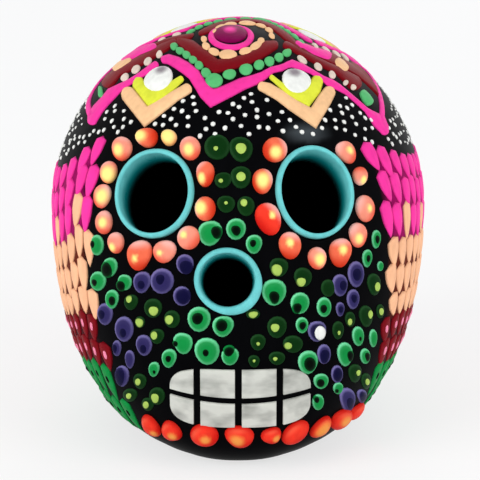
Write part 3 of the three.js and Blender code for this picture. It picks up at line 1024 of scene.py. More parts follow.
def build_collars():
    head = current_head()
    sizes = head.sizes
    wobble = random.Random(SEEDS["collars"])
    # The sleeves darken inwards as painted shade, to teal and then to near black
    material = coat_material("turquoise paint", TURQUOISE, sunk="painted_shade_teal", deep="shade")
    for name, place, half_width, half_height, right, up, axis in holes_of(head):
        bm = bmesh.new()
        profile = [bm.verts.new((half_width - inset, 0, height)) for inset, height in lip_profile(sizes)]
        edges = [bm.edges.new(pair) for pair in zip(profile, profile[1:] + profile[:1])]
        bmesh.ops.spin(
            bm, geom=[*profile, *edges], cent=(0, 0, 0), axis=(0, 0, 1), angle=math.tau, steps=LIP_STEPS,
            use_merge=True,
        )
        close_up(bm)
        sunk = bm.verts.layers.float.new("sunk")
        deep = bm.verts.layers.float.new("deep")
        out = head.normal(place)
        phases = [wobble.uniform(0, math.tau) for _ in range(LIP_PHASES)]
        for vert in bm.verts:
            x, y, height = vert.co
            angle = math.atan2(y, x)
            uneven = sum(math.sin(i * angle + phase) for i, phase in enumerate(phases, 2)) / LIP_PHASES
            spread = 1 + LIP_WANDER * uneven * min(max(height, 0) / sizes.lip_proud, 1)
            inset = half_width - math.hypot(x, y)
            if height > 0:
                share = max(math.cos(angle - SMEAR_TURN), 0) ** 2 * (1 - inset / sizes.lip_width)
                spread += SMEAR_WIDTH.get(name, 0) * share / half_width
            else:
                spread += NARROWING.get(name, 0) * height / sizes.wall
            rise = math.sin(angle) * (half_height - half_width) + y
            foot = head.settle(place + right * (x * spread) + up * (rise * spread))
            # Painted shade down the sleeve: teal over its first millimetres, near black deeper in
            vert[sunk] = smooth_step(0, SLEEVE_FADE, -height)
            vert[deep] = smooth_step(SLEEVE_SHADE, SLEEVE_DEPTH, -height)
            vert.co = foot + (out * (height * (1 + LIP_SWELL * uneven)) if height > 0 else axis * height)
        add_piece(f"{name}_ring", bm, [material], "turquoise_paint", name)


# Teeth

MOUTH_POWER = 3.8
CORNER_SHARE = 0.994
TOOTH_COLUMNS = 12
TOOTH_ROWS = 8
TOOTH_SINK = 0.2 * MM
TOOTH_BEVEL = 0.22 * MM
TOOTH_CREASE = math.radians(50)


def tooth_cells(sizes):
    """Sideways limits of the four teeth of a row, from the mouth's middle."""
    inner = sizes.tooth_gap / 2 + sizes.tooth_width
    corner = CORNER_SHARE * sizes.mouth_width / 2
    shift = sizes.tooth_shift
    return (
        (-corner, shift - inner - sizes.tooth_gap),
        (shift - inner, shift - sizes.tooth_gap / 2),
        (shift + sizes.tooth_gap / 2, shift + inner),
        (shift + inner + sizes.tooth_gap, corner),
    )


def tooth_place(head, start, end, towards, column, row):
    """A place of a tooth's patch by its shares across and up: columns crowd towards the mouth's corners."""
    sizes = head.sizes
    half = sizes.mouth_width / 2
    crowd = math.asin(start / half), math.asin(end / half)
    x = half * math.sin(crowd[0] + (crowd[1] - crowd[0]) * column)
    bite = sizes.mouth_height - sizes.bite_drop + sizes.bite_sag * (x / half) ** 2
    bite += towards * sizes.tooth_gap / 2
    bow = (1 - (abs(x) / half) ** MOUTH_POWER) ** (1 / MOUTH_POWER)
    far = sizes.mouth_height + towards * sizes.mouth_opening / 2 * bow
    if towards > 0:
        far -= sizes.upper_dip * (1 - (x / half) ** 2)
    return head.face(sizes.mouth_x + x, bite + (far - bite) * row)


def build_tooth(head, name, start, end, towards, material):
    """One tablet: a patch of the mouth laid on the face, thickened and rounded along its front edge."""
    bm, shares = grid_mesh(TOOTH_COLUMNS, TOOTH_ROWS)
    for vert, column, row in shares:
        place = tooth_place(head, start, end, towards, column, row)
        vert.co = place - head.normal(place) * TOOTH_SINK
    front = bmesh.ops.extrude_face_region(bm, geom=bm.faces[:])
    raised = [item for item in front["geom"] if isinstance(item, bmesh.types.BMVert)]
    for vert in raised:
        vert.co += head.normal(vert.co) * (TOOTH_SINK + head.sizes.tooth_proud)
    bmesh.ops.recalc_face_normals(bm, faces=bm.faces)
    top = set(raised)
    rim = [
        edge for edge in bm.edges
        if top.issuperset(edge.verts) and any(not top.issuperset(face.verts) for face in edge.link_faces)
    ]
    bmesh.ops.bevel(
        bm, geom=rim, offset=TOOTH_BEVEL, affect="EDGES", segments=3, profile=0.5, material=-1,
        clamp_overlap=True,
    )
    for face in bm.faces:
        face.smooth = True
    piece = add_piece(f"{name}_tablet", bm, [material], "silver_paint", name)
    piece.data.set_sharp_from_angle(angle=TOOTH_CREASE)


def build_teeth():
    head = current_head()
    material = coat_material("silver paint", SILVER)
    for row, towards in (("upper", 1), ("lower", -1)):
        for i, (start, end) in enumerate(tooth_cells(head.sizes)):
            build_tooth(head, f"{row}_tooth_{i + 1}", start, end, towards, material)


# Beads in pixels of the photograph: half width and height, tilt, the heart's offset and size, the turn of the
# lit side, which gets a painted highlight with painted shade opposite, and the paint

LEFT_EYE_BEADS = (
    (10, 12, -12, -1, 3, 6, 80, "salmon"),
    (11, 10, 15, -5, 0, 7, 180, "orange"),
    (8, 8, 0, 0, 0, 9, 90, "salmon"),
    (10.5, 12, 0, -0.5, 3, 6, 110, "salmon"),
    (9.5, 12.5, 0, -3.5, 5, 5, 130, "orange"),
    (10.5, 12.5, 0, -4, -1, 7, 170, "orange"),
    (11.5, 12, 0, -4, -4, 4, 140, "salmon"),
    (11.5, 11.5, 0, -3, 0, 3.2, 60, "salmon"),
    (12.5, 15, 0, -2, 2, 3.6, 90, "orange"),
    (8, 10.5, 0, -1, 3.5, 4.2, 90, "salmon"),
    (8, 12, 0, 2, 0, 5, 80, "salmon"),
    (8, 12.5, -8, 2.5, 1, 7, 40, "salmon"),
    (8, 11.5, -12, 1.5, 3, 8, 110, "salmon"),
)
RIGHT_EYE_BEADS = (
    (12.5, 12.5, 0, 0, 4, 6.5, 20, "orange"),
    (10.5, 12.5, 0, 0, 0, 8, 30, "orange"),
    (13, 16.5, 15, 3.5, -4, 4, 50, "red"),
    (11.5, 13.5, 0, -1, -4, 4.5, 80, "orange"),
    (9, 11.5, 0, 1, 0, 6.5, 60, "salmon"),
    (11, 14.5, 0, 0, -4, 5, 90, "orange"),
    (9, 12, 0, -2, 3, 5, 130, "salmon"),
    (9, 14, 8, 1, 0, 3.5, 150, "salmon"),
    (7, 9.5, 10, 1, 5, 4, 270, "salmon"),
    (8.5, 12.5, 28, 1, 0, 4, 150, "salmon"),
)
CHIN_BEADS = (
    (12.5, 6.5, -48, 5, 5, 3.5, 130, "red"),
    (12, 7.8, -48, 3, 3, 4.5, 130, "red"),
    (14.5, 11, -12, 2, 2, 5, 150, "red"),
    (14.5, 11, 0, -3, 2, 7, 100, "red"),
    (10, 8, 25, 4, 1, 4, 100, "red"),
    (16, 9, 38, 0, 0, 0, 130, "red"),
    (13, 6.5, 45, 0, 0, 8, 90, "red"),
    (13, 5.5, 45, 1, -1, 5, 90, "red"),
    (12, 5, 45, 0, 0, 0, 90, "red"),
)
# The painted shade of each bead paint, on the side away from the light
BEAD_SHADES = {"salmon": "coral", "orange": "rust", "red": "crimson"}


def node_pixel(head, node):
    """The pixel of the photograph where a node of the skin lies."""
    low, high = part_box(node)
    return pixel_of(head.settle((low + high) / 2))


def bead_patch(head, pixel, bead, height, wobble):
    """A raised bead at a pixel, with a soft heart where one is set."""
    half_width, half_height, tilt, right, down, size, lit = bead
    centre, across, up = pixel_spans(head, *pixel, half_width, half_height, tilt)
    heart = None
    if size:
        cosine = math.cos(math.radians(tilt))
        sine = math.sin(math.radians(tilt))
        along = (right * cosine - down * sine) / half_width
        rise = (-right * sine - down * cosine) / half_height
        heart = (along, rise, 2 * size / (half_width + half_height))
    return drop_patch(head, centre, across, up, height, wobble, heart, lit - tilt, BEAD_STEPS, BEAD_RINGS)


def build_beads():
    head = current_head()
    wobble = random.Random(SEEDS["beads"])
    # Eye beads take a pale painted highlight on their lit sides; chin beads take orange there and crimson
    # painted shade round their edges
    eye = {"pale": "blush", "heart": "yellow"}
    rows = (
        ("left_eye", LEFT_EYE_BEADS, eye),
        ("right_eye", RIGHT_EYE_BEADS, eye),
        ("chin", CHIN_BEADS, {"pale": "orange", "heart": "amber", "rim": "crimson"}),
    )
    for row, beads, masks in rows:
        for i, (*bead, key) in enumerate(beads):
            node = f"{row}_bead_{i + 1}"
            layer = PaintLayer()
            layer.take(bead_patch(head, node_pixel(head, node), bead, head.sizes.bead_height, wobble))
            material = paint_material(key, deep=BEAD_SHADES[key], **masks)
            layer.finish(f"{node}_drop", [material], "orange_paint", node)


# Dots of the cheeks and the nose bridge: pixel, half width and half height, then the heart's offset and size

LIGHT_GREEN_DOTS = (
    (97, 245, 7, 10.5, -3, -1, 2.5), (110, 267, 7.5, 10, -2, 2, 5.5), (98, 281, 8, 10, -2, 1, 3),
    (125, 282, 7, 8, -3, 3, 4.5), (112, 299, 7, 9.5, 1, 1, 3.5), (210, 233, 12, 13, 6, -1, 5.5),
    (236, 229, 10, 11, 0, 1, 5), (254, 244, 8.5, 9.5, -1, -1, 3.5), (199, 319, 12, 12.5, -1, -1, 6),
    (223, 326, 10.5, 11, -1, -1, 6), (183, 343, 9.5, 11, -7, 0, 2.5), (207, 351, 12.5, 14, -1, 1, 3.5),
    (230, 356, 9, 9, -1, -5, 5), (169, 358, 7.5, 9.5, 0, 0, 3), (154, 369, 5.5, 7.5, 1, 2, 1.5),
    (274, 292, 12, 14, 0, 4, 5.5), (300, 303, 9.5, 11, -3, 4, 4.5), (324, 307, 7.5, 10, -1, 1, 3.5),
    (302, 325, 6.5, 8, 0, 0, 3.5), (376, 239, 4.5, 9.5, 0, 0, 2.2), (367, 258, 5, 9, 0, 0, 2.2),
    (380, 266, 3, 5), (308, 362, 10, 12, 1, 1, 6), (321, 381, 7.5, 8, -1, 1, 4),
    (318, 402, 6, 8, -2, -3, 2.5), (358, 336, 6, 10, 1, 2, 1.5), (345, 354, 8, 12, 4, 1, 3.5),
    (373, 338, 4, 9), (365, 356, 5, 8, 1, 0, 2.8), (338, 388, 5, 6, -2, 2, 1.8),
)
DARK_GREEN_DOTS = (
    (217, 147, 13, 13, -1, 2, 2.5), (241, 149, 12, 13, 0, 0, 5.5), (241, 177, 11, 11, 0, 0, 5),
    (223, 180, 9, 8, -2, 1, 2.5), (226, 204, 9, 9, 0, -1, 2), (246, 206, 9, 10, -2, -3, 3.5),
    (131, 302, 7, 8, -1, -3, 3), (153, 308, 9, 10, 1, 2, 4.5), (172, 319, 8, 9, -2, 0, 4.2),
    (140, 322, 5, 6, 0, 0, 3.5), (157, 336, 7, 8, -2, -1, 3.5), (140, 381, 6.5, 8, -1, 0, 3),
    (130, 395, 7, 7, 0, 0, 3), (157, 396, 8, 9, -1, 1, 4.2), (148, 404, 6, 7, -1, 0, 3.2),
    (279, 267, 9, 10, -2, 2, 5.2), (303, 277, 9, 10, -2, 4, 4.2), (253, 314, 7, 5, 0, 0, 4.5),
    (277, 327, 10, 11, -2, 0, 4.2), (258, 342, 8, 8, 0, 1, 2), (293, 344, 10, 9, -5, 1, 3.8),
    (277, 358, 8, 7, -2, 0, 2.4), (254, 361, 6, 6, 0, -1, 1.6), (374, 284, 7, 11, 2, 2, 3),
    (328, 288, 7, 9), (366, 316, 7, 11, 3, -2, 2.6), (350, 319, 5, 8, -1, 2, 2.2),
    (380, 311, 4, 7, 0, 0, 2.2), (338, 330, 6, 9, 0, 2, 1.6), (355, 373, 7, 9, 2, -1, 2.4),
    (366, 381, 5, 8, 0, 0, 2.2),
)
PURPLE_DOTS = (
    (185, 264, 9, 10, 1, 2, 6), (142, 282, 9, 11, 0, 2, 3.8), (162, 281, 12, 13, -1, -2, 4.8),
    (182, 296, 9, 10, 1, 0, 6.4), (105, 314, 8, 11, -2, 0, 3.6), (124, 329, 9.5, 13, 0, 3, 3.6),
    (144, 345, 8, 11, 0, 3, 3.4), (117, 348, 4.5, 8, -1, 0, 2.6), (130, 359, 5, 9),
    (122, 376, 7, 11, -1, 0, 5), (356, 274, 8.5, 13, 0, 0, 4.4), (340, 285, 8, 11, 2, 0, 3.8),
    (353, 299, 6.5, 10, 0, -1, 3), (340, 309, 4.5, 7, 0, 0, 2.4), (324, 354, 7, 10, 0, 1, 4.6),
    (348, 400, 8, 12, 1, 2, 4), (337, 374, 6, 9, 0, 0, 4.2), (362, 396, 4.5, 7, 0, 0, 3),
)
WHITE_HEART_DOT = (317, 331, 9, 11, 2, 1, 5.6)


def build_dots():
    head = current_head()
    wobble = random.Random(SEEDS["dots"])
    height = head.sizes.dot_height
    groups = (
        ("light_green_dots", LIGHT_GREEN_DOTS, "green", "mint", "forest", "green_paint"),
        ("dark_green_dots", DARK_GREEN_DOTS, "dark_green", "moss", "pale_green", "dark_green_paint"),
        ("purple_dots", PURPLE_DOTS, "purple", "lilac", "navy", "purple_paint"),
        ("white_heart_dot", (WHITE_HEART_DOT,), "navy", "lilac", "white", "purple_paint"),
    )
    # Each dot's rim is a lighter paint, heavier on its lit side as a painted highlight; each heart's rim is
    # its dot's paint
    for name, dots, body, rim, heart, slot in groups:
        layer = PaintLayer()
        for dot in dots:
            add_dot(layer, head, dot, height, wobble)
        layer.finish(name, [paint_material(body, rim=rim), paint_material(heart, rim=body)], slot)


# Side panels: paint, top and bottom of a row in millimetres, and where it starts on the left and on the right

PANEL_ROWS = (
    ("pink", 72.6, 66.2, 48.5, 46.0),
    ("pink", 67.4, 60.0, 49.8, 45.5),
    ("pink", 61.4, 52.2, 46.0, 47.0),
    ("peach", 53.4, 45.2, 47.0, 47.0),
    ("peach", 46.6, 38.6, 48.0, 49.5),
    ("peach", 40.0, 33.0, 46.5, 49.5),
    ("maroon", 34.2, 27.2, 46.0, 50.0),
    ("maroon", 28.2, 21.0, 44.5, 49.5),
    ("green", 22.2, 13.2, 45.0, 54.0),
    ("green", 14.2, 5.6, 44.0, 60.0),
)
WASH_BELOW = 1.5
WASH_TOP = (PANEL_ROWS[0][1] - WASH_BELOW) * MM

# How far the rows sink towards the back, and the turn where that starts and its pace on each side
PANEL_FALL = 14.0
LEFT_FALL = (55.0, 17.0)
RIGHT_FALL = (46.0, 55.0)
LEVEL_HEIGHT = 62.0

# Strokes: how rows are stepped and shifted, the peach ones of the lowest pink row, their lean at the right
# edge, how much they vary, how they land and lift, and the hearts: place, half height and half width
TURN_STEP = 0.5
ROW_SHIFTS = (0.3, 0.8)
STRAYS = (2, 5, 11, 14, 20, 25, 26, 33, 35, 39, 44, 48, 51)
EDGE_LEAN = 3.0
EDGE_TURN = 14.0
LEAN_JITTER = 0.8
END_JITTER = 0.6
STROKE_WIDTHS = (0.92, 1.08)
LANDING = 0.16
LIFTING = (0.38, 1.08)
LIFT_POWER = 0.7
PANEL_HEARTS = {"maroon": (0.42, 0.2, 0.34), "green": (0.4, 0.12, 0.34)}
PANEL_HEART_RISE = 1.5


def full_fall(turn):
    """How far the highest rows have sunk, in millimetres, at a turn behind the panel's front edge."""
    turn = (turn + HALF_TURN) % FULL_TURN - HALF_TURN
    start, pace = RIGHT_FALL if turn > 0 else LEFT_FALL
    past = max(abs(turn) - start, 0)
    return PANEL_FALL * (1 - math.exp(-past / pace)) / (1 - math.exp((start - HALF_TURN) / pace))


def panel_fall(turn, height):
    """How far a row has sunk that starts at a height, in millimetres."""
    return full_fall(turn) * min(height / LEVEL_HEIGHT, 1)


def height_before(turn, height):
    """The height at which a row starts that has sunk to a height, in millimetres."""
    fall = full_fall(turn)
    if height + fall > LEVEL_HEIGHT:
        return height + fall
    return height / (1 - fall / LEVEL_HEIGHT)


def row_turns(head, height, start, end, pitch, shift):
    """Turns about the axis, evenly spaced along the skin between two turns."""
    turns = [start]
    lengths = [0.0]
    last = head.at(start, height)
    while turns[-1] < end:
        turns.append(turns[-1] + TURN_STEP)
        place = head.at(turns[-1], height)
        lengths.append(lengths[-1] + (place - last).length)
        last = place
    count = round(lengths[-1] / pitch)
    spaced = []
    for i in range(count):
        goal = lengths[-1] * (i + shift) / count
        spaced.append(turns[next(k for k, reached in enumerate(lengths) if reached >= goal)])
    return spaced


def feather(share):
    """A stroke's width: round where the brush lands, full, then pointed where it lifts."""
    if not 0 < share < 1:
        return 0.0
    landed = math.sqrt(1 - (1 - min(share / LANDING, 1)) ** 2)
    lifted = (1 - smooth_step(*LIFTING, share)) ** LIFT_POWER
    return landed * lifted


def add_panel_stroke(layer, head, turn, row, jitter):
    """One feather stroke down the skin, with a heart in the maroon and the green ones."""
    key, top, bottom = row[:3]
    sizes = head.sizes
    lean = jitter.uniform(-LEAN_JITTER, LEAN_JITTER)
    lean += EDGE_LEAN * max(1 - abs(turn - row[4]) / EDGE_TURN, 0)
    high = top + jitter.uniform(-END_JITTER, END_JITTER)
    low = bottom + jitter.uniform(-END_JITTER, END_JITTER)
    width = sizes.stroke_width / 2 * jitter.uniform(*STROKE_WIDTHS)

    def path(share):
        height = high + (low - high) * share
        return head.at(turn + lean * (share - 0.5), (height - panel_fall(turn, height)) * MM)

    stations = path_stations(head, path, width, feather, STROKE_STEPS)
    layer.take(stroke_patch(head, stations, sizes.stroke_height))
    if key in PANEL_HEARTS:
        middle, tall, broad = PANEL_HEARTS[key]
        centre = path(middle)
        up = (path(middle - tall) - path(middle + tall)) / 2
        across = head.normal(centre).cross(up).normalized() * width * broad
        height = sizes.stroke_height * PANEL_HEART_RISE
        patch = drop_patch(head, centre, across, up, height, jitter, steps=SPECK_STEPS, rings=SPECK_RINGS)
        layer.take(patch, 1)


def build_panels():
    head = current_head()
    jitter = random.Random(SEEDS["panels"])
    layers = {key: PaintLayer() for key in ("pink", "peach", "maroon", "green")}
    for i, row in enumerate(PANEL_ROWS):
        key, top, bottom, left, right = row
        height = (top + bottom) / 2 * MM
        near_peach = key == "pink" and PANEL_ROWS[i + 1][0] == "peach"
        pitch = head.sizes.stroke_pitch
        turns = row_turns(head, height, right, FULL_TURN - left, pitch, ROW_SHIFTS[i % 2])
        for k, turn in enumerate(turns):
            stray = near_peach and k in STRAYS
            add_panel_stroke(layers["peach" if stray else key], head, turn, row, jitter)
    paints = {
        "pink": ("pink",), "peach": ("apricot",), "maroon": ("maroon", "rose"), "green": ("green", "forest"),
    }
    for key, layer in layers.items():
        layer.finish(f"{key}_strokes", [paint_material(paint) for paint in paints[key]], f"{key}_paint")


# Crown star: column, row and half width along each stroke, in pixels of the photograph

STAR_STROKES = {
    "pink": (
        (
            (161, 60, 3.5), (168, 59, 5), (176, 62, 6), (186, 68, 6.5), (194, 74.5, 6.5), (200, 84, 6.5),
            (206, 92.5, 7.5), (212, 98, 8.5), (220, 94.5, 7.5), (230, 90, 7), (242, 84, 6.5), (254, 80, 5.5),
            (263, 76, 4.5), (272, 70, 3.5), (281, 68, 3.5), (290, 64, 3),
        ),
    ),
    "maroon": (
        (
            (177, 39, 4), (189, 46, 7), (203, 56.5, 7.5), (216, 66.5, 7), (229, 64, 6.5), (244, 60.5, 6),
            (258, 54, 6.5), (268, 47, 7), (278, 44, 4),
        ),
    ),
}
CHEVRON_STROKES = {
    "lime": (
        (
            (137, 77, 5), (138.5, 84, 6.5), (150.5, 98.5, 7.6), (160, 94.5, 6), (170, 87.5, 5),
            (183, 77.5, 3.2),
        ),
        (
            (270, 76, 2.5), (280, 84.5, 3), (291, 93, 4.4), (306, 98.5, 7.8), (314, 88.5, 7.4),
            (319.5, 76, 5.5),
        ),
    ),
    "peach": (
        ((125, 88, 6.5), (129, 95, 8), (146, 116.5, 8.2), (160, 106.5, 7), (174, 96.5, 6), (191, 86.5, 5.5)),
        (
            (258, 85, 4.5), (268, 88.5, 6), (280, 95.5, 6), (293, 105, 6.5), (313.5, 118, 7.8),
            (325, 99, 7.5), (332, 87.5, 6),
        ),
    ),
}
ARM_STROKES = {
    "pink": (
        (
            (158, 63, 3.5), (150, 69, 4), (141, 75, 3), (130, 82, 3), (120, 87.5, 4), (112, 93, 6),
            (105, 101, 5.5), (98, 109, 6), (93, 117, 6), (91, 125, 4),
        ),
        (
            (284, 66, 3), (292, 63.5, 4), (303, 67.5, 3.5), (312, 72, 2.5), (322, 78, 2.5), (331, 83.5, 4.5),
            (338, 87, 3.5), (346, 92.5, 2.2), (356, 101, 2.2), (366, 110, 2.4), (373, 116, 5),
            (379, 121, 7.5), (384, 129, 5.5), (386, 135, 3),
        ),
    ),
    "maroon": (
        (
            (176, 40, 4), (165, 47, 5), (152, 54, 5.5), (140, 61, 5.5), (128, 67.5, 5), (118, 72.5, 5),
            (110, 79, 7.5), (104, 87, 5),
        ),
        (
            (283, 44, 4), (292, 47.5, 4), (303, 53.5, 4), (315, 60, 4), (327, 66, 4), (338, 71, 4.5),
            (346, 76.5, 6), (354, 82.5, 8), (360, 88, 5),
        ),
    ),
}

# Ends of the two arms: bearing from and to, tilt at the corners, and how far the middle bows out
ARM_CAPS = ((66, 121, 53, -3), (-72, -127, 52.5, 2))
CAP_HALF_WIDTH = 0.95 * MM
CAP_STEPS = 30
CAP_END = 0.06

# Strokes laid over those
INLAY_STROKES = {
    "pink": (
        ((122, 61.5, 2.5), (129, 58, 3.5), (138, 53, 4.4), (148, 49.5, 4), (157, 46, 3.4)),
        ((295, 43, 2.5), (305, 48, 3.5), (315, 52.5, 4.5), (325, 55.5, 5.5), (331, 58, 4)),
    ),
    "peach": (
        ((114, 71, 3), (120, 66, 4.5), (127, 62, 3.5), (132, 60, 2)),
        ((335, 60, 4), (341, 65, 5), (347, 71, 4)),
    ),
    "jade": (
        ((101, 87, 1.8), (101, 92, 2.4), (101.5, 98, 3)), ((361, 91, 3), (366, 98, 5), (371, 105, 4.5)),
    ),
}
INLAY_RISE = 1.5

# Dots of the crown: pixel, half width, half height and tilt
CROWN_GREEN_DOTS = (
    (174, 46.5, 4, 3.6, 0), (180, 51, 4.4, 3.6, -20), (186.5, 55, 4.4, 3.8, -20), (193, 60, 4.4, 3.8, -25),
    (199, 65.5, 4.6, 4.2, -30), (206, 73, 5.4, 4.8, -35), (214, 80.5, 9, 7.4, 0), (229.5, 74.5, 6.8, 5.2, 15),
    (246, 69.5, 7.2, 5.6, 10), (259, 65, 5.4, 5, 10), (269.5, 61.5, 5.2, 4.8, 10), (279, 57.5, 4.8, 4.4, 15),
    (287, 53, 4.6, 4, 20),
)
CROWN_PEACH_DOTS = (
    (204, 39.5, 3, 3.2, 0), (206, 46.5, 4.4, 3.6, -20), (214, 52, 6, 3.6, -20), (228, 55, 9.6, 5.2, 0),
    (246, 51.5, 7, 4, 12), (256, 46.5, 7, 4.4, 30), (261, 41, 3.6, 3, 0),
)
CROWN_PALE_DOTS = (
    (159.5, 54.5, 4, 3, 60), (148, 61.5, 5, 3.2, 45), (136, 69.5, 5.4, 3.4, 45), (125, 77.5, 5, 3.2, 45),
    (302, 60, 6, 2.8, -38), (318, 67, 4.8, 3.2, -45),
)
SIDE_PALE_DOTS = ((332, 75, 4.4, 3, -50), (345.5, 83, 2.6, 2.6, 0), (353, 87.5, 3.6, 2.4, -35))
DOT_RISE = 1.3

# The ring round the knob, the knob and the white drops, as the beads are given
RING = (231, 35.4, 20, 10.2)
RING_HALF_WIDTH = 0.75 * MM
RING_FRONT = 0.6 * MM
RING_STEPS = 48
KNOB = (17.5, 8.4, 0, 0, -1, 5, 90)
BROW_DROPS = {
    "left_brow_drop": (16, 11.2, 30, 4, -7, 6, 90),
    "right_brow_drop": (15.5, 11.8, -17, -2.5, -6.5, 6.5, 90),
}
BROW_SHIFT = (-2, 2)


def build_crown_drops():
    """The knob and the two white drops, where their nodes are, and two more white drops behind."""
    head = current_head()
    wobble = random.Random(SEEDS["drops"])
    white = paint_material("white", heart="grey")
    behind = PaintLayer()
    for node, drop in BROW_DROPS.items():
        pixel = [place + shift for place, shift in zip(node_pixel(head, node), BROW_SHIFT)]
        front = PaintLayer()
        front.take(bead_patch(head, pixel, drop, head.sizes.drop_height, wobble))
        front.finish(f"{node}_paint", [white], "white_paint", node)
        centre, *spans = pixel_spans(head, *pixel, *drop[:3])
        back = head.behind(centre)
        across, up = (head.behind(centre + span) - back for span in spans)
        behind.take(drop_patch(head, back, across, up, head.sizes.dot_height, wobble))
    behind.finish("back_white_drops", [white], "white_paint")
    knob = PaintLayer()
    knob.take(bead_patch(head, node_pixel(head, "crown_knob"), KNOB, head.sizes.knob_height, wobble))
    knob.finish("crown_knob_paint", [paint_material("magenta", heart="pink")], "magenta_paint", "crown_knob")


def ring_stations(head):
    """Stations of the pink ring round the knob, broadest in front."""
    middle, across, up = pixel_spans(head, *RING)
    stations = []
    for i in range(RING_STEPS + 1):
        angle = math.tau * i / RING_STEPS
        outward = across * math.cos(angle) + up * math.sin(angle)
        centre = head.settle(middle + outward)
        side = outward.normalized() * (RING_HALF_WIDTH + RING_FRONT * max(-math.sin(angle), 0) ** 2)
        stations.append((centre + side, centre, centre - side, 1.0))
    return stations


def round_ended(share):
    """A stroke's width: full, with both ends round."""
    end = min(share / CAP_END, (1 - share) / CAP_END, 1)
    return math.sqrt(max(1 - (1 - end) ** 2, 0))


def cap_patch(head, cap, height):
    """The stroke that closes an arm of the star."""
    start, end, corner, bow = cap

    def path(share):
        return head.crown(start + (end - start) * share, corner + bow * math.sin(math.pi * share))

    return stroke_patch(head, path_stations(head, path, CAP_HALF_WIDTH, round_ended, CAP_STEPS), height)


def build_crown_star():
    head = current_head()
    wobble = random.Random(SEEDS["star"])
    height = head.sizes.stroke_height
    layers = {key: PaintLayer() for key in ("pink", "maroon", "jade", "peach", "lime", "cream")}
    layers["pink"].take(stroke_patch(head, ring_stations(head), height))
    for group in (STAR_STROKES, ARM_STROKES, CHEVRON_STROKES):
        for key, strokes in group.items():
            for points in strokes:
                layers[key].take_twice(head, stroke_patch(head, brush_stations(head, points), height))
    for cap in ARM_CAPS:
        layers["pink"].take(cap_patch(head, cap, height))
    for key, strokes in INLAY_STROKES.items():
        for points in strokes:
            layers[key].take(stroke_patch(head, brush_stations(head, points), height * INLAY_RISE))
    for key, dots in (("jade", CROWN_GREEN_DOTS), ("peach", CROWN_PEACH_DOTS), ("cream", CROWN_PALE_DOTS)):
        for dot in dots:
            patch = drop_patch(head, *pixel_spans(head, *dot), height * DOT_RISE, wobble)
            layers[key].take_twice(head, patch)
    for dot in SIDE_PALE_DOTS:
        layers["cream"].take(drop_patch(head, *pixel_spans(head, *dot), height * DOT_RISE, wobble))
    slots = {"jade": "green_paint", "cream": "white_paint"}
    for key, layer in layers.items():
        layer.finish(f"crown_{key}", [paint_material(key)], slots.get(key, f"{key}_paint"))


# Fine white specks: pixels of those on the forehead, and where the others lie between the star and the panels

FOREHEAD_SPECKS = (
    (183, 101), (193, 97), (194, 104), (174, 109), (182, 111), (188, 117), (164, 116), (171, 119),
    (155, 124), (188, 126), (205, 118), (206, 129), (219, 112), (233, 104), (228, 113), (239, 107),
    (244, 98), (245, 115), (225, 128), (241, 126), (251, 94), (252, 102), (257, 110), (257, 117),
    (259, 127), (267, 100), (269, 114), (282, 112), (278, 121), (283, 131), (302, 132), (313, 134),
    (330, 110), (340, 106), (346, 98), (347, 108), (352, 105), (342, 113), (335, 120), (344, 122),
    (325, 120), (322, 128), (336, 128), (345, 130), (355, 135), (356, 124), (360, 113), (365, 118),
    (365, 129), (389, 128), (393, 134), (388, 139), (365, 139), (372, 142), (196, 111), (213, 124),
    (176, 125), (163, 125), (215, 134), (233, 119), (249, 134), (268, 128), (290, 120), (296, 127),
    (200, 136), (372, 128), (352, 117), (371, 120), (390, 121), (395, 125), (396, 137), (400, 142),
    (392, 144), (107, 112), (115, 106), (115, 111), (124, 111), (124, 119), (131, 122), (105, 119),
    (112, 121), (114, 127), (104, 130), (99, 132), (94, 131), (118, 132), (90, 135), (84, 137),
    (123, 127), (85, 142), (79, 143), (74, 147), (80, 137), (75, 139), (69, 150), (70, 143),
)
STAR_EDGE = (
    (-68, 57), (-62, 43), (-41, 47.5), (-25, 32), (-13, 35), (2, 31), (15, 31), (34, 47), (52, 42), (65, 58),
    (89, 53), (112, 57),
)
FOREHEAD_LEFT = -73.0
FOREHEAD_RIGHT = 72.0
SPECK_TOP = 92.0
SPECK_BOTTOM = 57.0
SPECK_ROW = 2.2
SPECK_CLEAR = 1.2
SPECK_RISE = 0.6
SPECK_LENGTHS = (0.9, 1.25)
SPECK_SHARES = (0.5, 0.95)
SPECK_ROWS = (0.9, 1.1)
SPECK_TURN = 1.2
SPECK_STRAY = 0.7


def star_edge(bearing):
    """Tilt at which the star's paint ends, on a bearing; its two halves are alike but for the flare."""
    if abs(bearing) > BACK_BEARING:
        bearing = bearing % FULL_TURN - HALF_TURN
        bearing += BACK_FLARE * math.sin(math.radians(bearing))
    bearing = STAR_EDGE[0][0] + (bearing - STAR_EDGE[0][0]) % HALF_TURN
    for (first, low), (second, high) in zip(STAR_EDGE, STAR_EDGE[1:]):
        if first <= bearing <= second:
            return low + (high - low) * (bearing - first) / (second - first)
    return STAR_EDGE[-1][1]


def speck_patch(head, place, size, scatter):
    """A fine dot that the tip of a brush leaves, rather square."""
    along, up, _ = head.skin_axes(place)
    height = head.sizes.dot_height * SPECK_RISE
    long = size * scatter.uniform(*SPECK_LENGTHS)
    return drop_patch(
        head, place, along * size, up * long, height, scatter, steps=SPECK_STEPS, rings=SPECK_RINGS,
    )


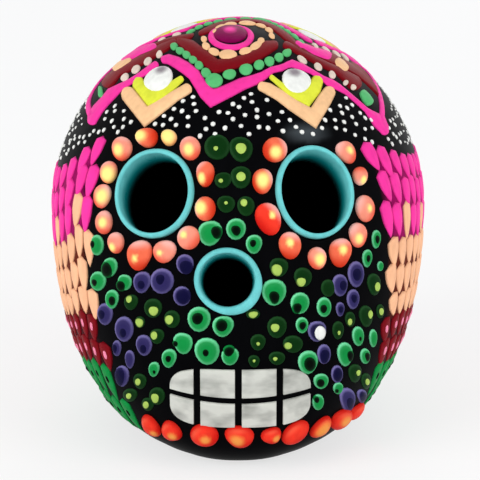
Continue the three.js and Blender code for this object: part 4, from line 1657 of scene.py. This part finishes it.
def build_specks():
    head = current_head()
    sizes = head.sizes
    scatter = random.Random(SEEDS["specks"])
    layer = PaintLayer()
    for column, row in FOREHEAD_SPECKS:
        layer.take(speck_patch(head, head.seen(column, row), sizes.speck_width / 2, scatter))
    height = SPECK_BOTTOM
    while height < SPECK_TOP:
        shift = scatter.uniform(0, 1)
        for turn in row_turns(head, height * MM, -HALF_TURN, HALF_TURN, sizes.speck_pitch, shift):
            turn += scatter.uniform(-SPECK_TURN, SPECK_TURN)
            level = height + scatter.uniform(-SPECK_STRAY, SPECK_STRAY)
            size = sizes.speck_width / 2 * scatter.uniform(*SPECK_SHARES)
            place = head.at(turn, level * MM)
            bearing, tilt = head.bearing_and_tilt(place)
            edge = PANEL_ROWS[0][1] + SPECK_CLEAR
            under_star = tilt < star_edge(bearing) + SPECK_CLEAR
            on_panel = level < edge - panel_fall(turn, edge)
            if under_star or on_panel or FOREHEAD_LEFT < turn < FOREHEAD_RIGHT:
                continue
            layer.take(speck_patch(head, place, size, scatter))
        height += SPECK_ROW * scatter.uniform(*SPECK_ROWS)
    layer.finish("white_specks", [paint_material("white")], "white_paint")


# Stage

# The floor's half width and its own light, and the lamps: place, size and power
FLOOR_HALF = 3.0
FLOOR_GLOW = 0.68
LAMPS = (
    ("key", (-0.9, -0.7, 0.55), 0.9, 8.6),
    ("fill", (0.95, -0.65, 0.48), 0.9, 6.7),
    ("back", (0.3, 1.1, 0.6), 0.9, 2.8),
)
SKY_COLOUR = (0.95, 0.97, 1.0, 1.0)
SKY_STRENGTH = 0.56
WHITE = (1.0, 1.0, 1.0, 1.0)


def shown_ray(tree):
    """1 where a ray comes from the camera, a mirror or glass."""
    add = node_adder(tree)
    rays = add("ShaderNodeLightPath").outputs
    shown = rays["Is Camera Ray"]
    for ray in ("Is Glossy Ray", "Is Transmission Ray"):
        shown = add("ShaderNodeMath", {0: shown, 1: rays[ray]}, operation="MAXIMUM").outputs["Value"]
    return shown


def floor_material():
    """A pale studio floor with a faint mottle, lit up where it is seen so that only a soft shadow stays."""
    material = coat_material("studio floor", STUDIO_FLOOR)
    tree = material.node_tree
    add = node_adder(tree)
    glow = add("ShaderNodeMath", {0: shown_ray(tree), 1: FLOOR_GLOW}, operation="MULTIPLY").outputs["Value"]
    bare = tree.nodes["Principled BSDF"].outputs["BSDF"]
    white = add("ShaderNodeEmission", {"Strength": 1.0}).outputs["Emission"]
    mix = add("ShaderNodeMixShader", {"Fac": glow, 1: bare, 2: white})
    tree.links.new(mix.outputs["Shader"], tree.nodes["Material Output"].inputs["Surface"])
    return material


def build_floor():
    bm = bmesh.new()
    bmesh.ops.create_grid(bm, x_segments=1, y_segments=1, size=FLOOR_HALF)
    floor = plain_object("studio_floor", bm)
    floor.data.materials.append(floor_material())


def build_lamps():
    for name, place, size, power in LAMPS:
        lamp = bpy.data.lights.new(name, "AREA")
        lamp.shape = "DISK"
        lamp.size = size
        lamp.energy = power
        light = bpy.data.objects.new(name, lamp)
        light.location = place
        towards = Vector((0, 0, WIDEST_HEIGHT)) - Vector(place)
        light.rotation_euler = towards.to_track_quat("-Z", "Y").to_euler()
        bpy.context.collection.objects.link(light)


def build_world():
    """Even studio light, with a white background wherever it is seen or mirrored."""
    world = bpy.data.worlds.new("studio")
    world.use_nodes = True
    bpy.context.scene.world = world
    tree = world.node_tree
    add = node_adder(tree)
    sky = tree.nodes["Background"]
    sky.inputs["Color"].default_value = SKY_COLOUR
    sky.inputs["Strength"].default_value = SKY_STRENGTH
    white = add("ShaderNodeBackground", {"Color": WHITE}).outputs["Background"]
    mix = add("ShaderNodeMixShader", {"Fac": shown_ray(tree), 1: sky.outputs["Background"], 2: white})
    tree.links.new(mix.outputs["Shader"], tree.nodes["World Output"].inputs["Surface"])


def build_camera():
    eye, *_, ahead = camera_axes()
    lens = bpy.data.cameras.new("photo camera")
    lens.lens = CAMERA_LENS
    lens.sensor_width = CAMERA_SENSOR
    lens.clip_start = CAMERA_NEAR
    camera = bpy.data.objects.new("photo camera", lens)
    camera.location = eye
    camera.rotation_euler = ahead.to_track_quat("-Z", "Y").to_euler()
    bpy.context.collection.objects.link(camera)
    bpy.context.scene.camera = camera


def build_stage():
    build_floor()
    build_lamps()
    build_world()
    build_camera()
    bpy.context.scene.view_settings.view_transform = "Standard"


# Operators

class SKULL_OT_stage(bpy.types.Operator):
    """Sets the floor, the lamps, the world and the camera"""

    bl_idname = "skull.stage"
    bl_label = "Studio stage"

    def execute(self, context):
        build_stage()
        return {"FINISHED"}


class SKULL_OT_shell(bpy.types.Operator):
    """Makes the two glazed halves of the clay shell and the coil over their seam"""

    bl_idname = "skull.shell"
    bl_label = "Clay shell"

    def execute(self, context):
        build_shell()
        build_seam_coil()
        return {"FINISHED"}


class SKULL_OT_collars(bpy.types.Operator):
    """Makes the turquoise collars of the eyes and the nose"""

    bl_idname = "skull.collars"
    bl_label = "Collars"

    def execute(self, context):
        build_collars()
        return {"FINISHED"}


class SKULL_OT_teeth(bpy.types.Operator):
    """Makes the eight silver teeth"""

    bl_idname = "skull.teeth"
    bl_label = "Teeth"

    def execute(self, context):
        build_teeth()
        return {"FINISHED"}


class SKULL_OT_beads(bpy.types.Operator):
    """Makes the raised beads round the eyes and under the mouth"""

    bl_idname = "skull.beads"
    bl_label = "Beads"

    def execute(self, context):
        build_beads()
        return {"FINISHED"}


class SKULL_OT_dots(bpy.types.Operator):
    """Makes the dots of the cheeks and the nose bridge"""

    bl_idname = "skull.dots"
    bl_label = "Cheek dots"

    def execute(self, context):
        build_dots()
        return {"FINISHED"}


class SKULL_OT_panels(bpy.types.Operator):
    """Makes the rows of feather strokes round the sides and the back"""

    bl_idname = "skull.panels"
    bl_label = "Side panels"

    def execute(self, context):
        build_panels()
        return {"FINISHED"}


class SKULL_OT_crown(bpy.types.Operator):
    """Makes the star on the crown with its knob, drops, bands and petals"""

    bl_idname = "skull.crown"
    bl_label = "Crown star"

    def execute(self, context):
        build_crown_drops()
        build_crown_star()
        return {"FINISHED"}


class SKULL_OT_specks(bpy.types.Operator):
    """Makes the fine white specks between the star and the panels"""

    bl_idname = "skull.specks"
    bl_label = "White specks"

    def execute(self, context):
        build_specks()
        return {"FINISHED"}


OPERATORS = (
    SKULL_OT_stage, SKULL_OT_shell, SKULL_OT_collars, SKULL_OT_teeth, SKULL_OT_beads, SKULL_OT_dots,
    SKULL_OT_panels, SKULL_OT_crown, SKULL_OT_specks,
)


class SKULL_PT_panel(bpy.types.Panel):
    """Lists the skull's sizes, colours and operators"""

    bl_idname = "SKULL_PT_panel"
    bl_label = "Sugar skull"
    bl_space_type = "VIEW_3D"
    bl_region_type = "UI"
    bl_category = "Skull"

    def draw(self, context):
        for operator in OPERATORS:
            self.layout.operator(operator.bl_idname)
        for group in (context.scene.skull_sizes, context.scene.skull_colours):
            for name in group.bl_rna.properties.keys():
                if name not in ("rna_type", "name"):
                    self.layout.prop(group, name)


CLASSES = (SkullSizes, SkullColours, *OPERATORS, SKULL_PT_panel)


def register():
    for item in CLASSES:
        bpy.utils.register_class(item)
    bpy.types.Scene.skull_sizes = PointerProperty(type=SkullSizes)
    bpy.types.Scene.skull_colours = PointerProperty(type=SkullColours)


def unregister():
    del bpy.types.Scene.skull_colours
    del bpy.types.Scene.skull_sizes
    for item in reversed(CLASSES):
        bpy.utils.unregister_class(item)


def main():
    register()
    bpy.ops.skull.stage()
    bpy.ops.skull.shell()
    bpy.ops.skull.collars()
    bpy.ops.skull.teeth()
    bpy.ops.skull.beads()
    bpy.ops.skull.dots()
    bpy.ops.skull.panels()
    bpy.ops.skull.crown()
    bpy.ops.skull.specks()


if __name__ == "__main__":
    main()
